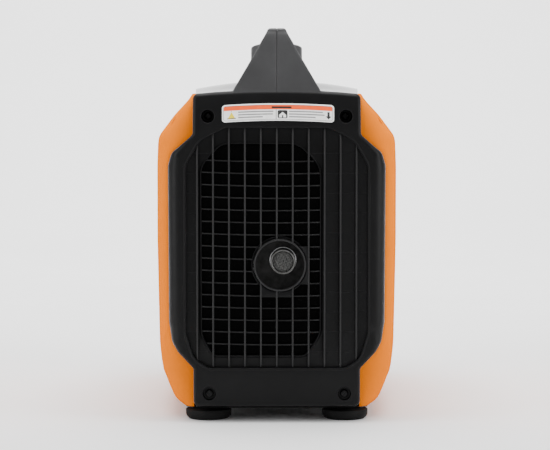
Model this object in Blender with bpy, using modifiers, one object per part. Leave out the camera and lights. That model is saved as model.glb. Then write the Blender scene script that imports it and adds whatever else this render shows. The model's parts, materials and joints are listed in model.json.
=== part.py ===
"""Portable inverter generator, modelled as an assembly of separate parts.

Metres, +Z up.  The origin is on the floor under the middle of the machine.  The exhaust end faces -Y,
the control panel faces +Y, and the recoil starter pulls out of the -X side.  Heights are given from a
datum just above the floor, and the last step lifts everything so that the feet stand on z = 0.
"""

import math

import bmesh
import bpy
from mathutils import Matrix, Vector

# ------------------------------------------------------------------ driving dimensions
DATUM = 0.0063             # height of the datum above the floor
HALF_LENGTH = 0.250        # floor centre to either end face
COVER_DEPTH = 0.040        # how far an end cover reaches along the machine
COVER_BACK = HALF_LENGTH - COVER_DEPTH
WALL = 0.003               # moulded wall
GAP = 0.0003               # running gap between touching parts
SEAM = 0.0006              # visible shut line between body panels
GRIP_TOP = 0.438           # top of the carrying handle

CRANK_Z = 0.140            # height of the crankshaft, which runs along Y at x = 0
EXHAUST = (0.0035, 0.1720)  # x, z of the exhaust recess in the rear cover
EXHAUST_RING = 0.0284      # its radius
PIPE = (0.0070, 0.1757)    # x, z of the exhaust pipe
PIPE_RADIUS = 0.0142
FUEL_Y = 0.030             # fuel cap, on the centre line
FUEL_CAP_RADIUS = 0.031
ROPE_Z = CRANK_Z + 0.036   # the starter rope leaves the top of its pulley
ROPE_Y = 0.066
FOOT = (0.078, 0.204)      # x, y of a foot
FOOT_RADIUS = 0.026
TRAY_UNDERSIDE = 0.0056
PAN_FLOOR = 0.0092         # upper face of the floor pan

# Right half of an end cover, bottom to top: x, z and corner radius.
COVER_CORNERS = [
    (0.0938, 0.0120, 0.009), (0.0938, 0.0550, 0.008), (0.1115, 0.0740, 0.012), (0.1180, 0.0850, 0.018),
    (0.1216, 0.1070, 0.030), (0.1225, 0.2840, 0.018), (0.1180, 0.2985, 0.014), (0.1095, 0.3050, 0.012),
    (0.0942, 0.3185, 0.008), (0.0940, 0.3640, 0.009),
]
CROWN_OF_COVER = [(0.048, 0.3675), (0.0, 0.3685), (-0.048, 0.3675)]

# Field of vertical bars in the rear cover, right half, bottom to top.
FIELD_CORNERS = [
    (0.076, 0.0563, 0.014), (0.093, 0.0668, 0.018), (0.102, 0.0950, 0.022),
    (0.102, 0.2840, 0.022), (0.086, 0.3120, 0.026), (0.058, 0.3260, 0.016),
]
BAR_PITCH = 0.01787
BAR_WIDTH = 0.0026
BARS_EACH_SIDE = 5
LIP = 0.0020               # wall round the field, and round the exhaust recess

# Air outlet behind the bars, off centre: x, z and corner radius, anticlockwise from bottom left.
WINDOW_CORNERS = [
    (-0.0705, 0.0700, 0.008), (0.0320, 0.0700, 0.010), (0.0480, 0.0945, 0.024), (0.0484, 0.2820, 0.024),
    (0.0240, 0.3080, 0.026), (-0.0620, 0.3080, 0.022), (-0.0845, 0.2830, 0.024), (-0.0840, 0.0925, 0.026),
]
RIB_PITCH = 0.01377
RIB_COUNT = 16
FIRST_RIB_Z = 0.0822
RIB_HEIGHT = 0.0020

# Side panels: z and half-width just behind an end cover; the middle of the machine is BULGE wider.
SIDE_PROFILE = [
    (0.0076, 0.1065), (0.0110, 0.1125), (0.0150, 0.1165), (0.0300, 0.1232), (0.0480, 0.1302),
    (0.0560, 0.1308), (0.120, 0.1322), (0.191, 0.1336), (0.278, 0.1336), (0.306, 0.1326),
    (0.3137, 0.1315), (0.327, 0.1215), (0.340, 0.1136), (0.3585, 0.0995), (0.3638, 0.0965),
]
BULGE = 0.0104
SHOULDER = 0.0247          # length over which a side panel rounds in to the end cover
SIDE_ROWS = [0.0076, 0.0110, 0.0150, 0.0300, 0.0480, 0.0560, 0.0740, 0.090, 0.112, 0.191, 0.272, 0.288,
             0.2985, 0.3137, 0.327, 0.341, 0.3585, 0.3638]
SIDE_STATIONS = [0.0, 0.07, 0.13, 0.185, 0.197, 0.2055, 0.2097]
CROWN_RAMP = 0.060         # length over which the top rises from an end cover

# Handle, one row per section from the rear foot to the front foot:
# outer y, z, inner y, z, half-width, corner radius.
HANDLE_SECTIONS = [
    (-0.2460, 0.3690, -0.2060, 0.3690, 0.0484, 0.003),
    (-0.2405, 0.3900, -0.2070, 0.3880, 0.0362, 0.003),
    (-0.2345, 0.4120, -0.2060, 0.4010, 0.0238, 0.005),
    (-0.2310, 0.4230, -0.2030, 0.4060, 0.0184, 0.004),
    (-0.2265, 0.4330, -0.1980, 0.4100, 0.0128, 0.004),
    (-0.2190, GRIP_TOP, -0.1900, 0.4130, 0.0108, 0.004),
    (-0.1800, GRIP_TOP, -0.1750, 0.4140, 0.0112, 0.006),
    (-0.1000, GRIP_TOP, -0.1000, 0.4125, 0.0140, 0.010),
    (0.0200, 0.4375, 0.0200, 0.4105, 0.0155, 0.010),
    (0.1100, 0.4340, 0.1050, 0.4085, 0.0160, 0.010),
    (0.1500, 0.4285, 0.1350, 0.4060, 0.0195, 0.006),
    (0.1640, 0.4243, 0.1460, 0.4015, 0.0322, 0.003),
    (0.1910, 0.4170, 0.1560, 0.3930, 0.0326, 0.003),
    (0.2010, 0.4000, 0.1600, 0.3850, 0.0328, 0.004),
    (0.2070, 0.3695, 0.1620, 0.3788, 0.0334, 0.004),
]
SEAM_CHAMFER = 0.0010      # groove where the handle's halves meet

# Screws of an end cover: x, z, and how far the floor of the pocket is from the middle of the machine.
UPPER_SCREW, UPPER_FLOOR = (0.0772, 0.3390), 0.2270
LOWER_SCREW, LOWER_FLOOR = (0.0760, 0.0270), 0.2420

# Opening in the front cover for the control panel: left, bottom, right, top and corner radius.
PANEL_OPENING = (-0.082, 0.118, 0.082, 0.336, 0.012)


# ------------------------------------------------------------------ scene and materials
def clear_scene():
    for obj in list(bpy.data.objects):
        bpy.data.objects.remove(obj)


def new_collection(name):
    collection = bpy.data.collections.new(name)
    bpy.context.scene.collection.children.link(collection)
    return collection


clear_scene()
PARTS = new_collection("portable_generator")
CUTTERS = new_collection("cutters")
MATERIALS = {}


def material(name, colour, roughness, metallic=0.0):
    made = bpy.data.materials.new(name)
    made.use_nodes = True
    shader = made.node_tree.nodes["Principled BSDF"]
    shader.inputs["Base Color"].default_value = (*colour, 1.0)
    shader.inputs["Roughness"].default_value = roughness
    shader.inputs["Metallic"].default_value = metallic
    MATERIALS[name] = made


material("black_plastic", (0.022, 0.022, 0.023), 0.45)
material("handle_plastic", (0.075, 0.075, 0.077), 0.55)
material("orange_plastic", (0.90, 0.33, 0.03), 0.35)
material("rubber", (0.020, 0.020, 0.020), 0.85)
material("steel", (0.55, 0.55, 0.56), 0.35, 1.0)
material("dark_steel", (0.10, 0.10, 0.10), 0.45, 1.0)
material("aluminium", (0.62, 0.63, 0.64), 0.45, 1.0)
material("tank_plastic", (0.10, 0.10, 0.11), 0.55)
material("label", (0.85, 0.85, 0.84), 0.40)
material("socket_plastic", (0.05, 0.05, 0.05), 0.50)
material("red_plastic", (0.60, 0.03, 0.02), 0.40)
material("lens", (0.12, 0.13, 0.14), 0.15)


# ------------------------------------------------------------------ shape helpers
def finish(name, mesh, material_name):
    """An object of this mesh, in the parts collection."""
    obj = bpy.data.objects.new(name, mesh)
    mesh.materials.clear()
    if material_name:
        mesh.materials.append(MATERIALS[material_name])
    PARTS.objects.link(obj)
    return obj


def from_bmesh(name, bm, material_name):
    bmesh.ops.recalc_face_normals(bm, faces=bm.faces)
    mesh = bpy.data.meshes.new(name)
    bm.to_mesh(mesh)
    bm.free()
    return finish(name, mesh, material_name)


def smooth(obj, angle=30.0):
    obj.data.shade_smooth()
    obj.data.set_sharp_from_angle(angle=math.radians(angle))
    return obj


def bevel(obj, width, segments=2, angle=40.0):
    edge = obj.modifiers.new("edge", "BEVEL")
    edge.width = width
    edge.segments = segments
    edge.limit_method = "ANGLE"
    edge.angle_limit = math.radians(angle)
    return obj


def box(name, low, high, material_name=None):
    """A box between two corners, with its origin at its centre."""
    low, high = Vector(low), Vector(high)
    bm = bmesh.new()
    bmesh.ops.create_cube(bm, size=1.0)
    bmesh.ops.scale(bm, vec=high - low, verts=bm.verts)
    obj = from_bmesh(name, bm, material_name)
    obj.location = (low + high) / 2
    return obj


def rod(name, radius, start, end, material_name=None, segments=24, end_radius=None):
    """A round bar, or a cone, from start to end."""
    start, end = Vector(start), Vector(end)
    bm = bmesh.new()
    bmesh.ops.create_cone(
        bm, cap_ends=True, segments=segments, radius1=radius,
        radius2=radius if end_radius is None else end_radius, depth=(end - start).length,
    )
    obj = smooth(from_bmesh(name, bm, material_name))
    obj.rotation_mode = "QUATERNION"
    obj.rotation_quaternion = (end - start).to_track_quat("Z", "Y")
    obj.location = (start + end) / 2
    return obj


def turned(name, profile, centre, axis, material_name, steps=24, closed=False):
    """A turned part. profile holds (radius, height) down the outer side; closed makes a ring of it."""
    mesh = bpy.data.meshes.new(name)
    count = len(profile)
    edges = [(i, i + 1) for i in range(count - 1)] + ([(count - 1, 0)] if closed else [])
    mesh.from_pydata([(radius, 0.0, height) for radius, height in profile], edges, [])
    obj = finish(name, mesh, material_name)
    screw = obj.modifiers.new("turn", "SCREW")
    screw.steps = steps
    screw.render_steps = steps
    screw.use_merge_vertices = True
    screw.merge_threshold = 0.00001
    obj.rotation_mode = "QUATERNION"
    obj.rotation_quaternion = Vector(axis).to_track_quat("Z", "Y")
    obj.location = centre
    return obj


FACING = {
    "X": Matrix(((0, 0, 1, 0), (1, 0, 0, 0), (0, 1, 0, 0), (0, 0, 0, 1))),
    "Y": Matrix(((1, 0, 0, 0), (0, 0, -1, 0), (0, 1, 0, 0), (0, 0, 0, 1))),
    "Z": Matrix.Identity(4),
}


def plate(name, outlines, low, high, facing, material_name=None):
    """Flat outlines, the later ones holes in the first, made solid from low to high along an axis.

    Facing X an outline holds (y, z), facing Y (x, z), and facing Z (x, y).
    """
    curve = bpy.data.curves.new(name, "CURVE")
    curve.dimensions = "2D"
    curve.fill_mode = "BOTH"
    curve.extrude = (high - low) / 2
    for outline in outlines:
        spline = curve.splines.new("POLY")
        spline.points.add(len(outline) - 1)
        for point, (u, v) in zip(spline.points, outline):
            point.co = (u, v, 0.0, 1.0)
        spline.use_cyclic_u = True
    source = bpy.data.objects.new(name + "_outline", curve)
    PARTS.objects.link(source)
    along = {"X": Vector((1, 0, 0)), "Y": Vector((0, 1, 0)), "Z": Vector((0, 0, 1))}[facing]
    source.matrix_world = Matrix.Translation(along * (low + high) / 2) @ FACING[facing]
    bpy.context.view_layer.update()
    solid = source.evaluated_get(bpy.context.evaluated_depsgraph_get())
    mesh = bpy.data.meshes.new_from_object(solid)
    bm = bmesh.new()
    bm.from_mesh(mesh)
    bmesh.ops.remove_doubles(bm, verts=bm.verts, dist=0.000001)
    bmesh.ops.recalc_face_normals(bm, faces=bm.faces)
    bm.to_mesh(mesh)
    bm.free()
    obj = finish(name, mesh, material_name)
    obj.matrix_world = source.matrix_world
    bpy.data.objects.remove(source)
    return obj


def tube(name, radius, route, material_name, resolution=3):
    """A round hose or wire along a smooth route."""
    curve = bpy.data.curves.new(name, "CURVE")
    curve.dimensions = "3D"
    curve.bevel_depth = radius
    curve.bevel_resolution = resolution
    curve.use_fill_caps = True
    spline = curve.splines.new("POLY")
    spline.points.add(len(route) - 1)
    for point, place in zip(spline.points, route):
        point.co = (*place, 1.0)
    curve.materials.append(MATERIALS[material_name])
    obj = bpy.data.objects.new(name, curve)
    PARTS.objects.link(obj)
    return obj


def smooth_route(points, per_span=5):
    """Points along one Catmull-Rom curve through the given ones."""
    points = [Vector(p) for p in points]
    ends = [points[0] * 2 - points[1], *points, points[-1] * 2 - points[-2]]
    route = []
    for a, b, c, d in zip(ends, ends[1:], ends[2:], ends[3:]):
        for step in range(per_span):
            t = step / per_span
            route.append(
                0.5 * ((2 * b) + (c - a) * t + (2 * a - 5 * b + 4 * c - d) * t * t
                       + (3 * b - a - 3 * c + d) * t ** 3)
            )
    return route + [points[-1]]


def as_helper(obj):
    """A cutter, or a piece that has been joined into another one: not a part of its own."""
    PARTS.objects.unlink(obj)
    CUTTERS.objects.link(obj)
    obj.hide_render = True
    obj.display_type = "WIRE"


def combine(target, operation, pieces):
    for piece in pieces:
        step = target.modifiers.new(piece.name, "BOOLEAN")
        step.operation = operation
        step.object = piece
        as_helper(piece)
    return target


def cut(target, *cutters):
    return combine(target, "DIFFERENCE", cutters)


def join(target, *pieces):
    return combine(target, "UNION", pieces)


def fillet(corners, steps=3):
    """A closed outline through (u, v, radius) corners, each rounded by an arc of its radius."""
    outline = []
    count = len(corners)
    for i, (u, v, radius) in enumerate(corners):
        here = Vector((u, v))
        back = Vector(corners[i - 1][:2]) - here
        ahead = Vector(corners[(i + 1) % count][:2]) - here
        half = back.angle(ahead) / 2
        reach = min(radius / math.tan(half), back.length * 0.49, ahead.length * 0.49)
        if reach < 1e-5 or abs(half - math.pi / 2) < 0.01:
            outline.append(tuple(here))
            continue
        start = here + back.normalized() * reach
        end = here + ahead.normalized() * reach
        for step in range(steps + 1):
            t = step / steps
            outline.append(tuple(start * (1 - t) ** 2 + here * 2 * t * (1 - t) + end * t * t))
    return outline


def rectangle(left, bottom, right, top, radius=0.0, steps=3):
    corners = [(left, bottom, radius), (right, bottom, radius), (right, top, radius), (left, top, radius)]
    return fillet(corners, steps)


def circle(u, v, radius, steps=24):
    turn = 2 * math.pi / steps
    return [(u + radius * math.cos(i * turn), v + radius * math.sin(i * turn)) for i in range(steps)]


def offset(outline, distance):
    """The outline moved outwards by distance at every point. It runs anticlockwise."""
    moved = []
    count = len(outline)
    for i, point in enumerate(outline):
        before = (Vector(point) - Vector(outline[i - 1])).normalized()
        after = (Vector(outline[(i + 1) % count]) - Vector(point)).normalized()
        out_before = Vector((before.y, -before.x))
        out_after = Vector((after.y, -after.x))
        mitre = out_before + out_after
        moved.append(tuple(Vector(point) + mitre * distance / max(mitre.length_squared / 2, 0.6)))
    return moved


def mirrored(corners):
    """A whole closed outline's corners from its right half, bottom to top."""
    return corners + [(-x, z, r) for x, z, r in reversed(corners)]


def reach_at(outline, x):
    """Lowest and highest z of the outline at x."""
    found = []
    for (x0, z0), (x1, z1) in zip(outline, outline[1:] + outline[:1]):
        if (x0 - x) * (x1 - x) < 0:
            found.append(z0 + (z1 - z0) * (x - x0) / (x1 - x0))
    return min(found), max(found)


def between(table, t):
    """Straight-line reading of a table of (t, value) rows."""
    if t <= table[0][0]:
        return table[0][1]
    for (t0, v0), (t1, v1) in zip(table, table[1:]):
        if t <= t1:
            return v0 + (v1 - v0) * (t - t0) / (t1 - t0)
    return table[-1][1]


def ease(t):
    t = max(0.0, min(1.0, t))
    return t * t * (3 - 2 * t)


def skin(bm, loops, cyclic=True):
    """Faces between successive loops of points."""
    rows = [[bm.verts.new(point) for point in loop] for loop in loops]
    for low, high in zip(rows, rows[1:]):
        last = len(low) if cyclic else len(low) - 1
        for i in range(last):
            j = (i + 1) % len(low)
            bm.faces.new((low[i], low[j], high[j], high[i]))
    return rows


# ------------------------------------------------------------------ outer surfaces of the body
def cover_outline():
    crown = [(x, z, 0.0) for x, z in CROWN_OF_COVER]
    corners = COVER_CORNERS + crown + [(-x, z, r) for x, z, r in reversed(COVER_CORNERS)]
    return fillet(corners, 2)


COVER_OUTLINE = cover_outline()
FIELD_OUTLINE = fillet(mirrored(FIELD_CORNERS))


def cover_half_width(z):
    """Half-width of an end cover at height z."""
    crossings = []
    for (x0, z0), (x1, z1) in zip(COVER_OUTLINE, COVER_OUTLINE[1:]):
        if (z0 - z) * (z1 - z) <= 0 and z0 != z1 and min(x0, x1) > 0.05:
            crossings.append(x0 + (x1 - x0) * (z - z0) / (z1 - z0))
    return max(crossings) if crossings else COVER_CORNERS[0][0]


def edge_rounding(z):
    """Radius of an end cover's front edge: full on the side columns, tight at the top and bottom."""
    return 0.004 + 0.011 * ease((z - 0.062) / 0.040) * ease((0.312 - z) / 0.030)


def bulge(y):
    return max(0.0, 1 - (y / 0.190) ** 2)


def ramp(y):
    return ease((COVER_BACK - abs(y)) / CROWN_RAMP)


def side_point(y, z):
    """A point of the +X side panel's outer surface."""
    middle = ease((z - 0.015) / 0.060) * ease((0.372 - z) / 0.050)
    full = between(SIDE_PROFILE, z) + BULGE * bulge(y) * (0.25 + 0.75 * middle)
    inward = max(0.0, min(1.0, (COVER_BACK - GAP - abs(y)) / SHOULDER))
    share = math.sin(math.acos(1 - inward))
    edge = cover_half_width(z) + SEAM
    return Vector((edge + (full - edge) * share, y, z))


def top_half_width(y):
    return side_point(y, 0.3638).x - SEAM


def crown(x, y):
    """Height of the top cover's outer surface."""
    share = min(1.0, abs(x) / top_half_width(y))
    return 0.364 + 0.005 * ramp(y) + (0.0045 + 0.0055 * ramp(y)) * (1 - share ** 2)


def thick_surface(name, grid, thickness, material_name):
    """An open grid of points given a wall on its inner side."""
    bm = bmesh.new()
    skin(bm, grid, cyclic=False)
    mesh = bpy.data.meshes.new(name)
    bm.to_mesh(mesh)
    bm.free()
    obj = smooth(finish(name, mesh, material_name), 50)
    wall = obj.modifiers.new("wall", "SOLIDIFY")
    wall.thickness = thickness
    wall.offset = -1.0
    wall.use_even_offset = True
    return obj


def both_ways(stations):
    return [-s for s in reversed(stations) if s > 0] + stations


# ------------------------------------------------------------------ end covers
def cover_loops(out, inset, degrees):
    """Loops of a tray's wall, from its open back round its front edge at these angles of the rounding."""
    base = offset(COVER_OUTLINE, -inset)
    face = HALF_LENGTH - inset
    rows = [[(x, out * (COVER_BACK + GAP), z) for x, z in base]]
    for angle in map(math.radians, degrees):
        row = []
        for (x, z), (nx, nz) in zip(base, offset(base, 1.0)):
            radius = max(edge_rounding(z) - inset, 0.0015)
            inward = Vector((x - nx, z - nz)).normalized() * radius * (1 - math.cos(angle))
            row.append((x + inward.x, out * (face - radius * (1 - math.sin(angle))), z + inward.y))
        rows.append(row)
    return rows


def cover_shell(name, out):
    """An end cover as a tray with a rounded front edge. out is -1 at the rear and +1 at the front."""
    bm = bmesh.new()
    outer = skin(bm, cover_loops(out, 0.0, (0, 30, 60, 90)))
    inner = skin(bm, cover_loops(out, WALL, (0, 90)))
    bm.faces.new(outer[-1])
    bm.faces.new(inner[-1])
    for i, vertex in enumerate(outer[0]):
        j = (i + 1) % len(outer[0])
        bm.faces.new((vertex, outer[0][j], inner[0][j], inner[0][i]))
    return smooth(from_bmesh(name, bm, "black_plastic"), 40)


def screw_pocket(cover, x, z, out, floor):
    """A round recess whose floor, at distance floor from the centre of the machine, takes a screw."""
    top, bottom = (x, out * (HALF_LENGTH - 0.0015), z), (x, out * (floor - 0.004), z)
    join(cover, rod("boss", 0.0090, top, bottom, segments=16))
    pocket = rod("pocket", 0.0070, (x, out * (HALF_LENGTH + 0.01), z), (x, out * floor, z), segments=20)
    hole = rod("screw_hole", 0.0026, (x, out * (floor + 0.001), z), (x, out * (floor - 0.010), z), segments=8)
    cut(cover, pocket, hole)


def cover_screw(name, x, z, out, floor):
    """Pan-head screw with a cross recess, standing on the pocket's floor."""
    head = 0.0030
    seat, top = (x, out * (floor + GAP), z), (x, out * (floor + head), z)
    screw = rod(name, 0.0050, seat, top, "dark_steel", 12, 0.0042)
    start, end = (x, out * (floor + 0.001), z), (x, out * (floor - 0.016), z)
    join(screw, rod("shank", 0.0020, start, end, segments=8))
    slot, depth = 0.0028, 0.0016
    tip = out * (floor + head - depth)
    top = out * (floor + head + 0.001)
    low, high = min(tip, top), max(tip, top)
    cut(screw, box("cross_bar", (x - slot, low, z - 0.0006), (x + slot, high, z + 0.0006)))
    cut(screw, box("cross_bar", (x - 0.0006, low, z - slot), (x + 0.0006, high, z + slot)))


def rear_cover():
    cover = cover_shell("rear_cover", -1)
    face = -HALF_LENGTH
    bars_back = face + 0.0075
    cut(cover, plate("field_hole", [offset(FIELD_OUTLINE, LIP / 2)], face - 0.005, face + 0.010, "Y"))
    lip = [offset(FIELD_OUTLINE, LIP), FIELD_OUTLINE]
    join(cover, plate("field_lip", lip, face + 0.0005, bars_back, "Y"))
    for i in range(-BARS_EACH_SIDE, BARS_EACH_SIDE + 1):
        x = i * BAR_PITCH
        near = reach_at(FIELD_OUTLINE, x - BAR_WIDTH / 2)
        far = reach_at(FIELD_OUTLINE, x + BAR_WIDTH / 2)
        low, high = max(near[0], far[0]) - LIP / 2, min(near[1], far[1]) + LIP / 2
        join(cover, box("bar", (x - BAR_WIDTH / 2, face + 0.0008, low),
                        (x + BAR_WIDTH / 2, bars_back - 0.0004, high)))
    ring_x, ring_z = EXHAUST
    low, high = (-BAR_PITCH, face + 0.0020, 0.1360), (BAR_PITCH, face + 0.0045, 0.1550)
    join(cover, box("patch_below", low, high))
    low, high = (BAR_PITCH, face + 0.0022, 0.1510), (2 * BAR_PITCH, face + 0.0047, 0.1933)
    join(cover, box("patch_beside", low, high))
    start, end = (ring_x, face - 0.01, ring_z), (ring_x, face + 0.02, ring_z)
    cut(cover, rod("ring_hole", EXHAUST_RING, start, end, segments=32))
    ring = [circle(ring_x, ring_z, EXHAUST_RING + side * LIP / 2, 32) for side in (1, -1)]
    join(cover, plate("ring", ring, face + 0.0003, bars_back - 0.0002, "Y"))
    for side in (-1, 1):
        screw_pocket(cover, side * UPPER_SCREW[0], UPPER_SCREW[1], -1, UPPER_FLOOR)
        screw_pocket(cover, side * LOWER_SCREW[0], LOWER_SCREW[1], -1, LOWER_FLOOR)


def rear_grille():
    """The air duct's face behind the bars: a plate with an off-centre window crossed by ribs."""
    front = -HALF_LENGTH + 0.0078
    window = fillet(WINDOW_CORNERS)
    seat = circle(*EXHAUST, EXHAUST_RING + LIP, 28)
    outline = offset(FIELD_OUTLINE, 0.0035)
    grille = plate("rear_grille", [outline, window], front, front + 0.0020, "Y", "black_plastic")
    for i in range(RIB_COUNT):
        z = FIRST_RIB_Z + i * RIB_PITCH
        left = min(x for x, _ in crossings_at(window, z))
        right = max(x for x, _ in crossings_at(window, z))
        join(grille, box("rib", (left - 0.002, front + 0.0003, z - RIB_HEIGHT / 2),
                         (right + 0.002, front + 0.0045, z + RIB_HEIGHT / 2)))
    seat_x, seat_z = EXHAUST
    join(grille, plate("seat", [circle(seat_x, seat_z, EXHAUST_RING + 0.004, 28)], front + 0.0006,
                       front + 0.0040, "Y"))
    cut(grille, plate("seat_hole", [seat], front - 0.005, front + 0.010, "Y"))


def crossings_at(outline, z):
    """Where the outline crosses height z, as (x, z) points."""
    found = []
    for (x0, z0), (x1, z1) in zip(outline, outline[1:] + outline[:1]):
        if (z0 - z) * (z1 - z) < 0:
            found.append((x0 + (x1 - x0) * (z - z0) / (z1 - z0), z))
    return found


def front_cover():
    cover = cover_shell("front_cover", 1)
    face = HALF_LENGTH
    opening = rectangle(*PANEL_OPENING)
    cut(cover, plate("panel_hole", [offset(opening, 0.001)], face - 0.012, face + 0.005, "Y"))
    join(cover, plate("panel_lip", [offset(opening, 0.002), opening], face - 0.0150, face - 0.0005, "Y"))
    for i in range(6):
        z = 0.046 + i * 0.0105
        half = 0.078 if i else 0.060
        slot = rectangle(-half, z, half, z + 0.0055, 0.0027, 2)
        cut(cover, plate("louvre", [slot], face - 0.02, face + 0.01, "Y"))


# ------------------------------------------------------------------ side panels, top and floor
def move_origin(obj, point):
    """Put the origin of a moving piece on its joint axis, leaving its shape where it is."""
    bpy.context.view_layer.update()
    place = Matrix.Translation(Vector(point))
    obj.data.transform(place.inverted() @ obj.matrix_world)
    obj.matrix_world = place
    return obj


def side_grid(side, rows, stations):
    stations = stations if side > 0 else stations[::-1]
    grid = []
    for z in rows:
        points = [side_point(y, z) for y in stations]
        grid.append([(side * p.x, p.y, p.z) for p in points])
    return grid


def panel_pocket(panel, side, y, z, normal):
    """A recess for a panel screw in the slanted face near an end cover."""
    centre = side_point(y, z)
    centre.x *= side
    inward = Vector((-side * normal[0], 0.0, -normal[1])).normalized()
    boss = rod("panel_boss", 0.0085, centre + inward * 0.0020, centre + inward * 0.0105, segments=16)
    join(panel, boss)
    cut(panel, rod("panel_pocket", 0.0060, centre - inward * 0.010, centre + inward * 0.0070, segments=16))


SERVICE_DOOR = (-0.135, 0.098, -0.010, 0.250)   # y and z of its lower rear and upper front corners
DOOR_ROWS = [0.090, 0.112, 0.191, 0.272]
DOOR_STATIONS = [-0.185, -0.13, -0.07, 0.0]
GRIP_RECESS = (ROPE_Y - 0.0225, ROPE_Z - 0.055, ROPE_Y + 0.0225, ROPE_Z + 0.055)


def side_panel(name, side):
    panel = thick_surface(name, side_grid(side, SIDE_ROWS, both_ways(SIDE_STATIONS)), WALL, "orange_plastic")
    for end in (-1, 1):
        panel_pocket(panel, side, end * 0.184, 0.333, (0.81, 0.585))
        panel_pocket(panel, side, end * 0.184, 0.0385, (0.88, -0.48))
    for i in range(4):
        z = 0.0860 + 0.0150 * i
        slot = rectangle(0.085, z, 0.165, z + 0.0060, 0.0030, 2)
        low, high = min(side * 0.10, side * 0.16), max(side * 0.10, side * 0.16)
        cut(panel, plate("side_louvre", [slot], low, high, "X"))
    return panel


def left_side_panel():
    """The side with the recess for the starter grip."""
    panel = side_panel("left_side_panel", -1)
    y0, z0, y1, z1 = GRIP_RECESS
    opening = rectangle(y0, z0, y1, z1, 0.010)
    cut(panel, plate("grip_hole", [opening], -0.160, -0.125, "X"))
    join(panel, plate("grip_recess_wall", [offset(opening, 0.0020), opening], -0.1405, -0.1130, "X"))
    join(panel, plate("grip_recess_floor", [offset(opening, 0.0015), circle(ROPE_Y, ROPE_Z, 0.0040, 16)],
                      -0.1140, -0.1110, "X"))


def right_side_panel():
    """The side with the service door."""
    panel = side_panel("right_side_panel", 1)
    y0, z0, y1, z1 = SERVICE_DOOR
    cut(panel, plate("door_hole", [rectangle(y0, z0, y1, z1, 0.010)], 0.110, 0.170, "X"))


def service_door():
    """A piece of the same surface, with a turning latch recess at its front edge."""
    door = thick_surface("service_door", side_grid(1, DOOR_ROWS, DOOR_STATIONS), WALL, "orange_plastic")
    y0, z0, y1, z1 = SERVICE_DOOR
    shape = offset(rectangle(y0, z0, y1, z1, 0.010), -SEAM)
    combine(door, "INTERSECT", [plate("door_shape", [shape], 0.110, 0.170, "X")])
    latch = rod("latch_boss", 0.0090, (0.1405, -0.024, 0.176), (0.1320, -0.024, 0.176), segments=20)
    join(door, latch)
    cut(door, box("latch_slot", (0.1395, -0.0305, 0.1750), (0.1500, -0.0175, 0.1770)))
    move_origin(door, (side_point(y0, 0.176).x + 0.0010, y0, (z0 + z1) / 2))


FILLER_RADIUS = 0.0360     # hole in the top cover round the filler neck
PLUG_ACCESS = (0.0, -0.130)  # x, y of the spark plug cover
PLUG_ACCESS_HALF = (0.024, 0.020)


def top_cover():
    across = [-1.0, -0.93, -0.78, -0.55, -0.28, 0.0, 0.28, 0.55, 0.78, 0.93, 1.0]
    grid = []
    for y in both_ways([0.0, 0.05, 0.10, 0.15, 0.18, 0.20, 0.2097]):
        half = top_half_width(y) - WALL - SEAM
        foot = crown(half, y) - 0.0040 - 0.005 * ramp(y)
        surface = [(half * t, y, crown(half * t, y)) for t in across]
        grid.append([(-half, y, foot), *surface, (half, y, foot)])
    cover = thick_surface("top_cover", grid, WALL, "black_plastic")
    cut(cover, rod("filler_hole", FILLER_RADIUS, (0, FUEL_Y, 0.34), (0, FUEL_Y, 0.42), segments=28))
    x, y = PLUG_ACCESS
    half_x, half_y = PLUG_ACCESS_HALF
    opening = rectangle(x - half_x, y - half_y, x + half_x, y + half_y, 0.006)
    cut(cover, plate("plug_access", [opening], 0.34, 0.42, "Z"))
    ledge = [offset(opening, 0.003), offset(opening, -0.002)]
    join(cover, plate("plug_ledge", ledge, 0.3735, 0.3765, "Z"))


def spark_plug_cover():
    x, y = PLUG_ACCESS
    half_x, half_y = PLUG_ACCESS_HALF
    opening = rectangle(x - half_x, y - half_y, x + half_x, y + half_y, 0.006)
    cover = plate("spark_plug_cover", [offset(opening, -SEAM)], 0.3765 + GAP, 0.3800, "Z", "black_plastic")
    bevel(cover, 0.0008)
    join(cover, box("finger_rib", (x - 0.012, y - 0.0015, 0.3795), (x + 0.012, y + 0.0015, 0.3825)))


def base_tray():
    """Floor pan with a flange that closes the body from below, posts for the engine and holes for air."""
    stations = both_ways([0.0, 0.075, 0.15, 0.195, 0.2092])
    edge = [(side_point(y, SIDE_ROWS[0]).x - 0.0015, y) for y in stations]
    outline = edge + [(-x, y) for x, y in reversed(edge)]
    top = SIDE_ROWS[0] - 0.0004
    tray = plate("base_tray", [outline], TRAY_UNDERSIDE, top, "Z", "black_plastic")
    wall = rectangle(-0.086, -0.200, 0.086, 0.200, 0.012)
    join(tray, plate("pan_wall", [wall, offset(wall, -0.003)], top - 0.0008, 0.0340, "Z"))
    join(tray, plate("pan_floor", [wall], top - 0.0006, PAN_FLOOR, "Z"))
    for x in (-0.052, 0.052):
        join(tray, box("engine_rail", (x - 0.012, -0.110, PAN_FLOOR - 0.001), (x + 0.012, -0.010, 0.0340)))
    for y in (0.050, 0.075, 0.100, 0.125, 0.150):
        cut(tray, plate("air_slot", [rectangle(-0.050, y, 0.050, y + 0.010, 0.004)], -0.01, 0.03, "Z"))


def foot(name, x, y):
    top = TRAY_UNDERSIDE - GAP + DATUM
    wide = FOOT_RADIUS
    profile = [(0.0, top), (wide - 0.0015, top), (wide, top - 0.0015), (wide - 0.0006, 0.0050),
               (wide - 0.0034, 0.0014), (wide - 0.0070, 0.0), (0.0, 0.0)]
    turned(name, profile, (x, y, -DATUM), (0, 0, 1), "rubber", 16)


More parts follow.
